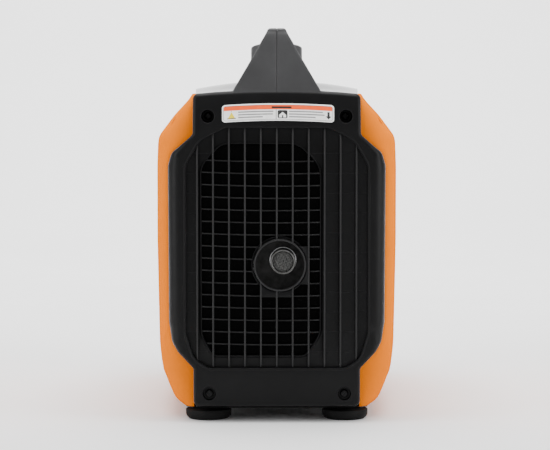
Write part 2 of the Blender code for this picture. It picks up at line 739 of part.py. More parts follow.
# ------------------------------------------------------------------ handle
def handle():
    """A box-section arch in two mirrored halves that meet at a vertical seam on the centre line."""
    for name, side in (("handle_left_half", -1), ("handle_right_half", 1)):
        bm = bmesh.new()
        loops = []
        for outer_y, outer_z, inner_y, inner_z, half, radius in HANDLE_SECTIONS:
            outer = Vector((0, outer_y, outer_z))
            inner = Vector((0, inner_y, inner_z))
            depth = (inner - outer).length
            down = (inner - outer) / depth
            ring = []
            for across, along in handle_section(half, depth, radius):
                ring.append(outer + down * along + Vector((side * across, 0, 0)))
            loops.append(ring)
        rows = skin(bm, loops)
        bm.faces.new(rows[0])
        bm.faces.new(rows[-1])
        smooth(from_bmesh(name, bm, "handle_plastic"), 50)


def handle_section(half, depth, radius):
    """Right half of the handle's section: across and along, from the seam's outer edge to its inner edge."""
    seam = GAP / 2
    groove = SEAM_CHAMFER
    points = [(seam, groove), (seam + groove, 0.0)]
    for corner, start in (((half - radius, radius), 90), ((half - radius, depth - radius), 0)):
        for step in range(4):
            angle = math.radians(start - 30 * step)
            points.append((corner[0] + radius * math.cos(angle), corner[1] - radius * math.sin(angle)))
    return points + [(seam + groove, depth), (seam, depth - groove)]


# ------------------------------------------------------------------ fuel tank and cap
CAP_TOP = 0.3950
NECK_TOP = 0.3770


def fuel_tank():
    """Blow-moulded tank; its filler neck is open and reaches the cap."""
    outline = rectangle(-0.105, -0.085, 0.105, 0.165, 0.025, 2)
    tank = plate("fuel_tank", [outline], 0.290, 0.352, "Z", "tank_plastic")
    bevel(tank, 0.010, 1, 60)
    join(tank, rod("neck", 0.0260, (0, FUEL_Y, 0.345), (0, FUEL_Y, NECK_TOP), segments=24))
    cut(tank, plate("inside", [offset(outline, -0.003)], 0.2935, 0.3485, "Z"))
    cut(tank, rod("bore", 0.0225, (0, FUEL_Y, 0.340), (0, FUEL_Y, 0.400), segments=24))


def fuel_cap():
    bottom = NECK_TOP - 0.0080
    inside = NECK_TOP + 0.0005
    profile = [
        (0.0, CAP_TOP - 0.0040), (0.0115, CAP_TOP - 0.0040), (0.0125, CAP_TOP), (0.0290, CAP_TOP),
        (FUEL_CAP_RADIUS, CAP_TOP - 0.0020), (FUEL_CAP_RADIUS + 0.0006, bottom), (0.0275, bottom),
        (0.0270, inside), (0.0, inside),
    ]
    cap = turned("fuel_cap", profile, (0, FUEL_Y, 0), (0, 0, 1), "black_plastic", 24)
    for i in range(8):
        turn = math.radians(45 * i + 7.5)
        x, y = 0.0345 * math.cos(turn), FUEL_Y + 0.0345 * math.sin(turn)
        cut(cap, rod("grip_flute", 0.0048, (x, y, bottom - 0.002), (x, y, CAP_TOP + 0.002), segments=6))


def fuel_cap_vent_knob():
    floor = CAP_TOP - 0.0040 + GAP
    profile = [(0.0, floor + 0.0065), (0.0085, floor + 0.0065), (0.0095, floor + 0.0050), (0.0095, floor),
               (0.0, floor)]
    knob = turned("fuel_cap_vent_knob", profile, (0, FUEL_Y, 0), (0, 0, 1), "black_plastic", 20)
    low, high = (-0.0010, FUEL_Y + 0.002, floor + 0.0050), (0.0010, FUEL_Y + 0.012, floor + 0.0080)
    cut(knob, box("pointer", low, high))


# ------------------------------------------------------------------ engine, alternator and starter
ENGINE_Y = (-0.112, -0.012)
CASE_HALF = 0.060
CASE_Z = (0.0520, 0.1880)
MOUNT_TOP = CASE_Z[0] - GAP


def engine_mount(name, x):
    box(name, (x - 0.0105, -0.100, 0.0340 + GAP), (x + 0.0105, -0.022, MOUNT_TOP), "rubber")


def crankcase():
    y0, y1 = ENGINE_Y
    outline = rectangle(-CASE_HALF, CASE_Z[0], CASE_HALF, CASE_Z[1], 0.016)
    case = plate("crankcase", [outline], y0, y1, "Y", "aluminium")
    bevel(case, 0.004, 1, 60)
    join(case, rod("main_bearing", 0.026, (0, y1 - 0.002, CRANK_Z), (0, y1 + 0.010, CRANK_Z), segments=24))
    cut(case, rod("crank_bore", 0.0108, (0, y0 + 0.010, CRANK_Z), (0, 0.020, CRANK_Z), segments=24))
    join(case, rod("filler_tube", 0.0150, (0.052, -0.040, 0.086), (0.082, -0.040, 0.098), segments=20))
    cut(case, rod("filler_bore", 0.0110, (0.066, -0.040, 0.0916), (0.090, -0.040, 0.1012), segments=20))


def oil_filler_cap():
    start, end = Vector((0.082, -0.040, 0.098)), Vector((0.052, -0.040, 0.086))
    along = (start - end).normalized()
    cap = rod("oil_filler_cap", 0.0135, start + along * GAP, start + along * 0.0095, "black_plastic", 20)
    join(cap, rod("plug", 0.0102, start + along * 0.002, start - along * 0.010, segments=20))
    join(cap, box("wing", (0.0895, -0.0500, 0.0985), (0.0945, -0.0300, 0.1055)))


def cylinder():
    x, y = 0.0, -0.062
    barrel = rod("cylinder", 0.031, (x, y, CASE_Z[1] + GAP), (x, y, 0.2500), "aluminium", 16)
    for i in range(5):
        z = 0.1950 + 0.0105 * i
        join(barrel, box("fin", (x - 0.050, y - 0.040, z), (x + 0.050, y + 0.040, z + 0.0024)))


def cylinder_head():
    low = 0.2500 + GAP
    head = box("cylinder_head", (-0.046, -0.100, low), (0.046, -0.024, 0.2760), "aluminium")
    bevel(head, 0.005)
    cut(head, rod("plug_thread", 0.0070, (0.0, -0.105, 0.262), (0.0, -0.086, 0.262), segments=16))


def spark_plug():
    z = 0.262
    plug = rod("spark_plug", 0.0066, (0, -0.0875, z), (0, -0.1080, z), "steel", 16)
    join(plug, rod("hexagon", 0.0090, (0, -0.1004, z), (0, -0.1075, z), segments=6))
    join(plug, rod("insulator", 0.0045, (0, -0.1070, z), (0, -0.1250, z), segments=12))


def plug_cap():
    """Rubber cap over the insulator, and the lead from it to the coil beside the crankcase."""
    z = 0.262
    cap = rod("plug_cap", 0.0085, (0, -0.1095, z), (0, -0.1330, z), "rubber", 16)
    lead = [(0.0, -0.130, z), (-0.020, -0.140, z - 0.004), (-0.058, -0.130, 0.235), (-0.072, -0.090, 0.200),
            (-0.074, -0.050, 0.182)]
    cable = tube("plug_lead", 0.0032, smooth_route(lead, 4), "rubber", 1)
    bpy.context.view_layer.update()
    mesh = bpy.data.meshes.new_from_object(cable.evaluated_get(bpy.context.evaluated_depsgraph_get()))
    bpy.data.objects.remove(cable)
    bm = bmesh.new()
    bm.from_mesh(mesh)
    bmesh.ops.remove_doubles(bm, verts=bm.verts, dist=0.00001)
    bmesh.ops.recalc_face_normals(bm, faces=bm.faces)
    bm.to_mesh(mesh)
    bm.free()
    join(cap, finish("lead", mesh, None))
    cut(cap, rod("insulator_seat", 0.0048, (0, -0.1080, z), (0, -0.1256, z), segments=12))


def ignition_coil():
    coil = box("ignition_coil", (-0.086, -0.066, 0.150), (-CASE_HALF - GAP, -0.034, 0.1786), "black_plastic")
    bevel(coil, 0.002)


def crankshaft():
    shaft = rod("crankshaft", 0.0105, (0, ENGINE_Y[0] + 0.0110, CRANK_Z), (0, 0.0530, CRANK_Z), "steel", 20)
    join(shaft, rod("nut", 0.0075, (0, 0.052, CRANK_Z), (0, 0.0585, CRANK_Z), segments=6))


def stator():
    """Ring of iron poles on the crankcase, inside the spinning rotor."""
    y0 = 0.0040
    outlines = [circle(0, CRANK_Z, 0.042, 27), circle(0, CRANK_Z, 0.0265, 16)]
    ring = plate("stator", outlines, y0, 0.0260, "Y", "dark_steel")
    for i in range(9):
        turn = math.radians(40 * i + 20)
        x, z = 0.0425 * math.cos(turn), CRANK_Z + 0.0425 * math.sin(turn)
        cut(ring, rod("winding_slot", 0.0038, (x, -0.01, z), (x, 0.05, z), segments=6))


def flywheel():
    """Outer rotor: a cup over the stator, keyed to the crankshaft."""
    inner, outer = 0.0455, 0.0530
    profile = [(outer, 0.0320), (outer, 0.0005), (inner, 0.0005), (inner, 0.0270), (0.0108, 0.0270),
               (0.0108, 0.0320)]
    turned("flywheel", profile, (0, 0, CRANK_Z), (0, 1, 0), "steel", 20, closed=True)


def cooling_fan():
    fan = rod("cooling_fan", 0.0560, (0, 0.0323, CRANK_Z), (0, 0.0345, CRANK_Z), "black_plastic", 28)
    join(fan, rod("hub", 0.0180, (0, 0.0340, CRANK_Z), (0, 0.0480, CRANK_Z), segments=24))
    upright = Matrix.Translation((0, 0.0335, CRANK_Z)) @ Matrix.Rotation(math.radians(-90), 4, "X")
    for i in range(9):
        blade = box("blade", (0.017, -0.0009, 0.0), (0.0555, 0.0009, 0.0130))
        blade.matrix_basis = upright @ Matrix.Rotation(math.radians(40 * i), 4, "Z") @ blade.matrix_basis
        join(fan, blade)
    cut(fan, rod("shaft_bore", 0.0108, (0, 0.030, CRANK_Z), (0, 0.050, CRANK_Z), segments=24))


PULLEY_Y = (ROPE_Y - 0.0050, ROPE_Y + 0.0050)


def starter_pulley():
    """Grooved drum that the rope winds on, on a pin of the starter housing."""
    y0, y1 = PULLEY_Y
    profile = [(0.0385, y0 + 0.0100), (0.0385, y0 + 0.0078), (0.0335, y0 + 0.0070), (0.0335, y0 + 0.0030),
               (0.0385, y0 + 0.0022), (0.0385, y0), (0.0055, y0), (0.0055, y0 + 0.0100)]
    turned("starter_pulley", [(r, h - ROPE_Y) for r, h in profile], (0, ROPE_Y, CRANK_Z), (0, 1, 0),
           "black_plastic", 20, closed=True)


def starter_housing():
    """Domed plate with air slots; its centre pin carries the pulley and its feet stand on the floor pan."""
    y0, y1 = PULLEY_Y[1] + 0.0010, PULLEY_Y[1] + 0.0040
    housing = plate("starter_housing", [circle(0, CRANK_Z, 0.0680, 24)], y0, y1, "Y", "black_plastic")
    pin_end = PULLEY_Y[0] - 0.0010
    join(housing, rod("pulley_pin", 0.0052, (0, y0 + 0.001, CRANK_Z), (0, pin_end, CRANK_Z), segments=16))
    for i in range(6):
        turn = math.radians(60 * i)
        x, z = 0.054 * math.cos(turn), CRANK_Z + 0.054 * math.sin(turn)
        cut(housing, rod("air_hole", 0.0095, (x, y0 - 0.01, z), (x, y1 + 0.01, z), segments=8))
    for x in (-0.045, 0.045):
        join(housing, box("leg", (x - 0.008, y0, 0.0195 + GAP), (x + 0.008, y1 + 0.003, CRANK_Z - 0.040)))


def starter_rope():
    rod("starter_rope", 0.0021, (-0.0030, ROPE_Y, ROPE_Z), (-0.1215, ROPE_Y, ROPE_Z), "rubber", 12)


def starter_grip():
    """T-shaped pull that rests in the recess of the left panel."""
    half, low, high = 0.0130, ROPE_Z - 0.0450, ROPE_Z + 0.0450
    outline = rectangle(ROPE_Y - half, low, ROPE_Y + half, high, 0.0090, 3)
    grip = plate("starter_grip", [outline], -0.1405, -0.1225, "X", "rubber")
    bevel(grip, 0.004, 2, 60)
    join(grip, rod("neck", 0.0072, (-0.1240, ROPE_Y, ROPE_Z), (-0.1143, ROPE_Y, ROPE_Z), segments=16))
    cut(grip, rod("rope_hole", 0.0024, (-0.1218, ROPE_Y, ROPE_Z), (-0.100, ROPE_Y, ROPE_Z), segments=12))


# ------------------------------------------------------------------ intake and exhaust
def carburettor():
    body = box("carburettor", (0.0505, -0.076, 0.2050), (0.0800, -0.048, 0.2380), "aluminium")
    bevel(body, 0.002, 1)
    join(body, rod("float_bowl", 0.0135, (0.066, -0.062, 0.206), (0.066, -0.062, 0.1930), segments=20))
    cut(body, rod("throat", 0.0085, (0.045, -0.062, 0.222), (0.090, -0.062, 0.222), segments=20))


def air_filter_box():
    filter_box = box("air_filter_box", (0.0803, -0.112, 0.160), (0.1230, -0.020, 0.2620), "black_plastic")
    bevel(filter_box, 0.006)
    cut(filter_box, rod("inlet", 0.0085, (0.070, -0.062, 0.222), (0.095, -0.062, 0.222), segments=20))
    join(filter_box, box("lid_seam", (0.1130, -0.114, 0.158), (0.1160, -0.018, 0.264)))


MUFFLER_Y = (-0.2180, -0.1450)


def muffler():
    y0, y1 = MUFFLER_Y
    shape = rectangle(-0.068, 0.110, 0.068, 0.236, 0.024, 4)
    body = plate("muffler", [shape], y0, y1, "Y", "steel")
    bevel(body, 0.005, 2, 60)
    join(body, rod("manifold", 0.0120, (0, y1 - 0.004, 0.215), (0, -0.1025, 0.215), segments=20))
    x, z = PIPE
    cut(body, rod("outlet", 0.0100, (x, y0 - 0.01, z), (x, y0 + 0.030, z), segments=24))


def exhaust_cup():
    """Heat shield that lines the recess round the exhaust pipe."""
    x, z = EXHAUST
    y0, y1 = -0.2370, MUFFLER_Y[0] - 0.0040
    cup = rod("exhaust_cup", 0.0300, (x, y0, z), (x, y1, z), "dark_steel", 24)
    cut(cup, rod("cup_inside", 0.0285, (x, y0 - 0.01, z), (x, y1 - 0.0015, z), segments=24))
    x, z = PIPE
    cut(cup, rod("pipe_hole", PIPE_RADIUS + 0.0010, (x, -0.25, z), (x, -0.20, z), segments=20))


def tailpipe():
    x, z = PIPE
    start, end = MUFFLER_Y[0] - GAP, -0.2450
    pipe = rod("tailpipe", PIPE_RADIUS, (x, start, z), (x, end, z), "steel", 24)
    cut(pipe, rod("pipe_bore", PIPE_RADIUS - 0.0025, (x, -0.20, z), (x, -0.26, z), segments=24))
    bevel(pipe, 0.0006, 1)


def spark_arrestor():
    """Cup of wire screen inside the mouth of the exhaust pipe."""
    radius = PIPE_RADIUS - 0.0025 - GAP
    x, z = PIPE
    profile = [(0.0, 0.0240), (radius, 0.0240), (radius, 0.0), (radius - 0.0010, 0.0),
               (radius - 0.0010, 0.0228), (0.0, 0.0228)]
    turned("spark_arrestor", profile, (x, -0.2435, z), (0, 1, 0), "dark_steel", 16)


# ------------------------------------------------------------------ electrics and control panel
PANEL_FACE = 0.2380
PANEL_BACK = PANEL_FACE - 0.0025


def inverter_module():
    module = box("inverter_module", (-0.070, 0.120, 0.0360), (0.070, 0.190, 0.0920), "aluminium")
    for i in range(10):
        x = -0.0602 + i * 0.0124
        cut(module, box("fin_gap", (x, 0.115, 0.0660), (x + 0.0080, 0.195, 0.1000)))
    for x in (-0.062, 0.062):
        join(module, box("stand", (x - 0.006, 0.130, PAN_FLOOR + GAP), (x + 0.006, 0.180, 0.0370)))


AC_HALF = (0.0460, 0.0260)
AC_CENTRE = (0.020, 0.158)
FLAP_TOP = AC_CENTRE[1] + 0.0230
DC_CENTRE = (-0.050, 0.216)
DC_HALF = (0.0140, 0.0110)
DIAL_CENTRE = (0.044, 0.290)
SWITCH_CENTRE = (-0.004, 0.290)
LENS_CENTRE = (-0.050, 0.290)
LENS_HALF = (0.0200, 0.0080)
RESET_CENTRE = (-0.004, 0.224)
JACKS = ((0.034, 0.226), (0.056, 0.226))
GROUND_CENTRE = (-0.060, 0.140)


def hole_round(centre, half_width, half_height):
    x, z = centre
    return rectangle(x - half_width, z - half_height, x + half_width, z + half_height)


def control_panel():
    outlines = [
        offset(rectangle(*PANEL_OPENING), -GAP),
        hole_round(AC_CENTRE, AC_HALF[0] + GAP, AC_HALF[1] + GAP),
        hole_round(DC_CENTRE, DC_HALF[0] + GAP, DC_HALF[1] + GAP),
        hole_round(SWITCH_CENTRE, 0.0075, 0.0115),
        hole_round(LENS_CENTRE, LENS_HALF[0] + GAP, LENS_HALF[1] + GAP),
        circle(*DIAL_CENTRE, 0.0068, 20),
        circle(*RESET_CENTRE, 0.0054, 20),
        circle(*GROUND_CENTRE, 0.0033, 12),
    ]
    outlines += [circle(*jack, 0.0043, 16) for jack in JACKS]
    plate("control_panel", outlines, PANEL_BACK, PANEL_FACE, "Y", "black_plastic")


def ac_outlet():
    """Two sockets in one moulding, each a round well with slots for the blades of a plug."""
    x, z = AC_CENTRE
    half_x, half_z = AC_HALF
    low, high = (x - half_x, 0.2120, z - half_z), (x + half_x, PANEL_FACE, z + half_z)
    outlet = box("ac_outlet", low, high, "socket_plastic")
    for offset_x in (-0.0215, 0.0215):
        centre = x + offset_x
        cut(outlet, rod("well", 0.0175, (centre, 0.2330, z), (centre, 0.25, z), segments=20))
        for shift in (-0.0063, 0.0063):
            cut(outlet, box("blade_slot", (centre + shift - 0.0010, 0.2180, z - 0.0005),
                            (centre + shift + 0.0010, 0.2350, z + 0.0075)))
        earth_z = z - 0.0080
        cut(outlet, rod("earth_hole", 0.0026, (centre, 0.2180, earth_z), (centre, 0.2350, earth_z), segments=8))


def outlet_flap(name, x, z, half_width, height, top):
    """Sprung weather flap: a lid with its pin along its top edge, in front of the socket."""
    y0 = PANEL_FACE + 0.0018
    low, high = (x - half_width, y0, z - height), (x + half_width, y0 + 0.0030, top)
    lid = box(name, low, high, "black_plastic")
    bevel(lid, 0.0008, 1)
    join(lid, rod("barrel", 0.0022, (x - half_width + 0.0010, y0 + 0.0010, top),
                  (x + half_width - 0.0010, y0 + 0.0010, top), segments=12))
    join(lid, box("tab", (x - 0.006, y0 + 0.0025, z - height), (x + 0.006, y0 + 0.0050, z - height + 0.0030)))
    move_origin(lid, (x, y0 + 0.0010, top))


def dc_outlet():
    x, z = DC_CENTRE
    half_x, half_z = DC_HALF
    low, high = (x - half_x, 0.2160, z - half_z), (x + half_x, PANEL_FACE, z + half_z)
    outlet = box("dc_outlet", low, high, "socket_plastic")
    for slot_x in (x - 0.0060, x + 0.0060):
        low, high = (slot_x - 0.0030, 0.2220, z - 0.0050), (slot_x + 0.0030, 0.24, z + 0.0050)
        cut(outlet, box("dc_slot", low, high))


def engine_dial():
    """Rotary engine switch with a raised pointer bar; its stem passes through the panel."""
    x, z = DIAL_CENTRE
    y = PANEL_FACE
    dial = rod("engine_dial", 0.0210, (x, y + GAP, z), (x, y + 0.0040, z), "black_plastic", 24, 0.0200)
    bar = box("dial_bar", (x - 0.0050, y + 0.0030, z - 0.0180), (x + 0.0050, y + 0.0110, z + 0.0180))
    bevel(bar, 0.0020)
    join(dial, bar, rod("stem", 0.0062, (x, y + 0.001, z), (x, PANEL_BACK - 0.0120, z), segments=20))


def economy_switch():
    """Rocker that turns about a pin behind the panel."""
    x, z = SWITCH_CENTRE
    outline = [(PANEL_FACE + 0.0045, z + 0.0100), (PANEL_FACE + 0.0015, z), (PANEL_FACE + 0.0015, z - 0.0100),
               (PANEL_BACK - 0.0060, z - 0.0080), (PANEL_BACK - 0.0060, z + 0.0080)]
    rocker = plate("economy_switch", [outline], x - 0.0070, x + 0.0070, "X", "socket_plastic")
    move_origin(rocker, (x, PANEL_BACK, z))


def reset_button():
    x, z = RESET_CENTRE
    start, end = (x, PANEL_BACK - 0.0060, z), (x, PANEL_FACE + 0.0040, z)
    button = rod("reset_button", 0.0050, start, end, "red_plastic", 20)
    bevel(button, 0.0008, 1)


def indicator_lens():
    x, z = LENS_CENTRE
    half_x, half_z = LENS_HALF
    low, high = (x - half_x, PANEL_BACK - 0.0060, z - half_z), (x + half_x, PANEL_FACE + 0.0010, z + half_z)
    lens = box("indicator_lens", low, high, "lens")
    bevel(lens, 0.0010, 1)


def parallel_jack(name, x, z):
    jack = rod(name, 0.0062, (x, PANEL_FACE + GAP, z), (x, PANEL_FACE + 0.0060, z), "black_plastic", 14)
    join(jack, rod("sleeve", 0.0040, (x, PANEL_FACE + 0.001, z), (x, PANEL_BACK - 0.0120, z), segments=10))
    cut(jack, rod("jack_bore", 0.0021, (x, PANEL_BACK - 0.0090, z), (x, PANEL_FACE + 0.01, z), segments=8))


def ground_terminal():
    x, z = GROUND_CENTRE
    bolt = rod("ground_terminal", 0.0058, (x, PANEL_FACE + GAP, z), (x, PANEL_FACE + 0.0050, z), "steel", 6)
    join(bolt, rod("stud", 0.0030, (x, PANEL_BACK - 0.0080, z), (x, PANEL_FACE + 0.0095, z), segments=12))


# ------------------------------------------------------------------ label
def information_label():
    """Blank printed plate, bent to the crowned face of the rear cover."""
    half, low, high, arch = 0.0632, 0.3300, 0.3510, 0.0022
    corner = 0.003
    steps = [half * (i / 8 - 1) for i in range(1, 16)]
    outline = [(x, low + arch * (1 - (x / half) ** 2), 0.0) for x in steps]
    outline += [(half, low, corner), (half, high, corner)]
    outline += [(x, high + arch * (1 - (x / half) ** 2), 0.0) for x in reversed(steps)]
    outline += [(-half, high, corner), (-half, low, corner)]
    plate("information_label", [fillet(outline)], -HALF_LENGTH - 0.0007, -HALF_LENGTH - GAP, "Y", "label")


def stand_on_floor():
    """Lift the machine, with the helpers that its Booleans use, from the datum to the floor."""
    for obj in bpy.data.objects:
        obj.location.z += DATUM


# ------------------------------------------------------------------ build
rear_cover()
rear_grille()
front_cover()
left_side_panel()
right_side_panel()
service_door()
top_cover()
spark_plug_cover()
base_tray()
handle()
information_label()
for number, (side, end) in enumerate(((-1, -1), (1, -1), (-1, 1), (1, 1)), 1):
    foot(f"foot_{number}", side * FOOT[0], end * FOOT[1])
for number, side in enumerate((-1, 1), 1):
    cover_screw(f"upper_screw_{number}", side * UPPER_SCREW[0], UPPER_SCREW[1], -1, UPPER_FLOOR)
    cover_screw(f"lower_screw_{number}", side * LOWER_SCREW[0], LOWER_SCREW[1], -1, LOWER_FLOOR)
fuel_tank()
fuel_cap()
fuel_cap_vent_knob()
engine_mount("engine_mount_left", -0.052)
engine_mount("engine_mount_right", 0.052)
crankcase()
oil_filler_cap()
cylinder()
cylinder_head()
spark_plug()
plug_cap()
ignition_coil()
crankshaft()
stator()
flywheel()
cooling_fan()
starter_pulley()
starter_housing()
starter_rope()
starter_grip()
carburettor()
air_filter_box()
muffler()
exhaust_cup()
tailpipe()
spark_arrestor()
inverter_module()
control_panel()
ac_outlet()
outlet_flap("ac_flap_left", AC_CENTRE[0] + 0.0215, AC_CENTRE[1], 0.0195, 0.0200, FLAP_TOP)
outlet_flap("ac_flap_right", AC_CENTRE[0] - 0.0215, AC_CENTRE[1], 0.0195, 0.0200, FLAP_TOP)
dc_outlet()
outlet_flap("dc_flap", DC_CENTRE[0], DC_CENTRE[1], 0.0130, 0.0095, DC_CENTRE[1] + 0.0120)
engine_dial()
economy_switch()
reset_button()
indicator_lens()
parallel_jack("parallel_jack_left", *JACKS[1])
parallel_jack("parallel_jack_right", *JACKS[0])
ground_terminal()
stand_on_floor()
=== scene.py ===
"""Looks of a portable inverter generator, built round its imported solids."""
import json
import math
import random

import bmesh
import bpy
from mathutils import Matrix, Vector

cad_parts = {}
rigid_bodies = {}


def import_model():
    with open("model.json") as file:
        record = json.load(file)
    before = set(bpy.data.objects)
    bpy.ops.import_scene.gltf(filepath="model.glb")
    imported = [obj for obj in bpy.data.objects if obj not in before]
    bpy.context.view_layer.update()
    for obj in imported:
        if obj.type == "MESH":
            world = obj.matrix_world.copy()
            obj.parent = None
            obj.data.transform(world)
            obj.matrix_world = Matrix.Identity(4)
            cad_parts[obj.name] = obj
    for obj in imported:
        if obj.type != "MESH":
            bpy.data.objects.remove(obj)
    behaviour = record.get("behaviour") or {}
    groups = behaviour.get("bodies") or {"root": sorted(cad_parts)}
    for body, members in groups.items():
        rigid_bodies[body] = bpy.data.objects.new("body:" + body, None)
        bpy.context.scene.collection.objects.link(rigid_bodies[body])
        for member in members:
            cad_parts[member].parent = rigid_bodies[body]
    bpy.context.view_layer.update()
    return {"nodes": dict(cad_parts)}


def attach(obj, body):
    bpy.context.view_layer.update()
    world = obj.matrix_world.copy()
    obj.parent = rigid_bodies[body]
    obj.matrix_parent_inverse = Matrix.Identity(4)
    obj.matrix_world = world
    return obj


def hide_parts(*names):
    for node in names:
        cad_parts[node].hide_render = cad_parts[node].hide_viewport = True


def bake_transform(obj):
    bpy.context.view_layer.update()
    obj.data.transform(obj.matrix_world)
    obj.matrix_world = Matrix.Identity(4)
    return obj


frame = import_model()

NODES = frame["nodes"]

# ---- dimensions shared with the solids
# Heights are above the solids' datum, which is DATUM above the floor; stand_on_floor lifts the pieces.
DATUM = 0.0063
HALF_LENGTH = 0.250
COVER_BACK = 0.210
WALL = 0.003
SEAM = 0.0006
EXHAUST = (0.0035, 0.1720)
EXHAUST_RING = 0.0284
PIPE = (0.0070, 0.1757)
BAR_PITCH = 0.01787
BAR_WIDTH = 0.0021
RIB_PITCH = 0.01377
FIRST_RIB_Z = 0.0836
GRILLE_Y = -0.2422
SLATS = 16
SEAT_RADIUS = 0.0314       # the slats stop at this distance from the exhaust's centre
GRIP_TOP = 0.438
CREST = (0.0, 0.190)       # of the rays between an end cover's loops
TOP_EDGE = 0.3638          # the side panels end here, under the top cover
FOOT = (0.078, 0.204, 0.026)   # across, along and radius

COVER_CORNERS = [
    (0.0938, 0.0120, 0.0065), (0.0938, 0.0555, 0.006), (0.1115, 0.0740, 0.012), (0.1180, 0.0850, 0.018),
    (0.1216, 0.1070, 0.030), (0.1225, 0.2840, 0.018), (0.1180, 0.2985, 0.014), (0.1095, 0.3050, 0.010),
    (0.0942, 0.3185, 0.006), (0.0940, 0.3640, 0.0065),
]
CROWN_OF_COVER = [(0.072, 0.3660), (0.048, 0.3675), (0.024, 0.3683), (0.0, 0.3685)]
FIELD_CORNERS = [
    (0.076, 0.0563, 0.014), (0.093, 0.0668, 0.018), (0.102, 0.0950, 0.022),
    (0.102, 0.2840, 0.022), (0.086, 0.3120, 0.026), (0.058, 0.3260, 0.016),
]
WINDOW_CORNERS = [
    (-0.0705, 0.0700, 0.008), (0.0320, 0.0700, 0.010), (0.0480, 0.0945, 0.024), (0.0484, 0.2820, 0.024),
    (0.0240, 0.3080, 0.026), (-0.0620, 0.3080, 0.022), (-0.0845, 0.2830, 0.024), (-0.0840, 0.0925, 0.026),
]
SIDE_PROFILE = [
    (0.0076, 0.1065), (0.0110, 0.1125), (0.0150, 0.1165), (0.0300, 0.1232), (0.0480, 0.1302),
    (0.0560, 0.1308), (0.120, 0.1322), (0.191, 0.1336), (0.278, 0.1336), (0.306, 0.1326),
    (0.3137, 0.1315), (0.327, 0.1215), (0.340, 0.1136), (0.3585, 0.0995), (0.3638, 0.0965),
]
HANDLE_SECTIONS = [
    (-0.2425, 0.3625, -0.2060, 0.3640, 0.0522, 0.0022),
    (-0.2412, 0.3690, -0.2062, 0.3700, 0.0484, 0.0022),
    (-0.2405, 0.3900, -0.2070, 0.3880, 0.0362, 0.0022),
    (-0.2345, 0.4120, -0.2060, 0.4010, 0.0238, 0.0035),
    (-0.2310, 0.4230, -0.2030, 0.4060, 0.0182, 0.0030),
    (-0.2265, 0.4330, -0.1980, 0.4100, 0.0127, 0.0035),
    (-0.2190, GRIP_TOP, -0.1900, 0.4130, 0.0106, 0.0040),
    (-0.1800, GRIP_TOP, -0.1750, 0.4140, 0.0110, 0.0060),
    (-0.1000, GRIP_TOP, -0.1000, 0.4125, 0.0140, 0.0100),
    (0.0200, 0.4375, 0.0200, 0.4105, 0.0155, 0.0100),
    (0.1100, 0.4340, 0.1050, 0.4085, 0.0160, 0.0100),
    (0.1500, 0.4285, 0.1350, 0.4060, 0.0190, 0.0060),
    (0.1640, 0.4243, 0.1460, 0.4015, 0.0320, 0.0026),
    (0.1910, 0.4170, 0.1560, 0.3930, 0.0324, 0.0026),
    (0.2010, 0.4000, 0.1600, 0.3850, 0.0328, 0.0040),
    (0.2070, 0.3695, 0.1620, 0.3788, 0.0334, 0.0040),
]
UPPER_SCREW, UPPER_POCKET_FLOOR = (0.0772, 0.3390), 0.2270
LOWER_SCREW, LOWER_POCKET_FLOOR = (0.0760, 0.0270), 0.2420


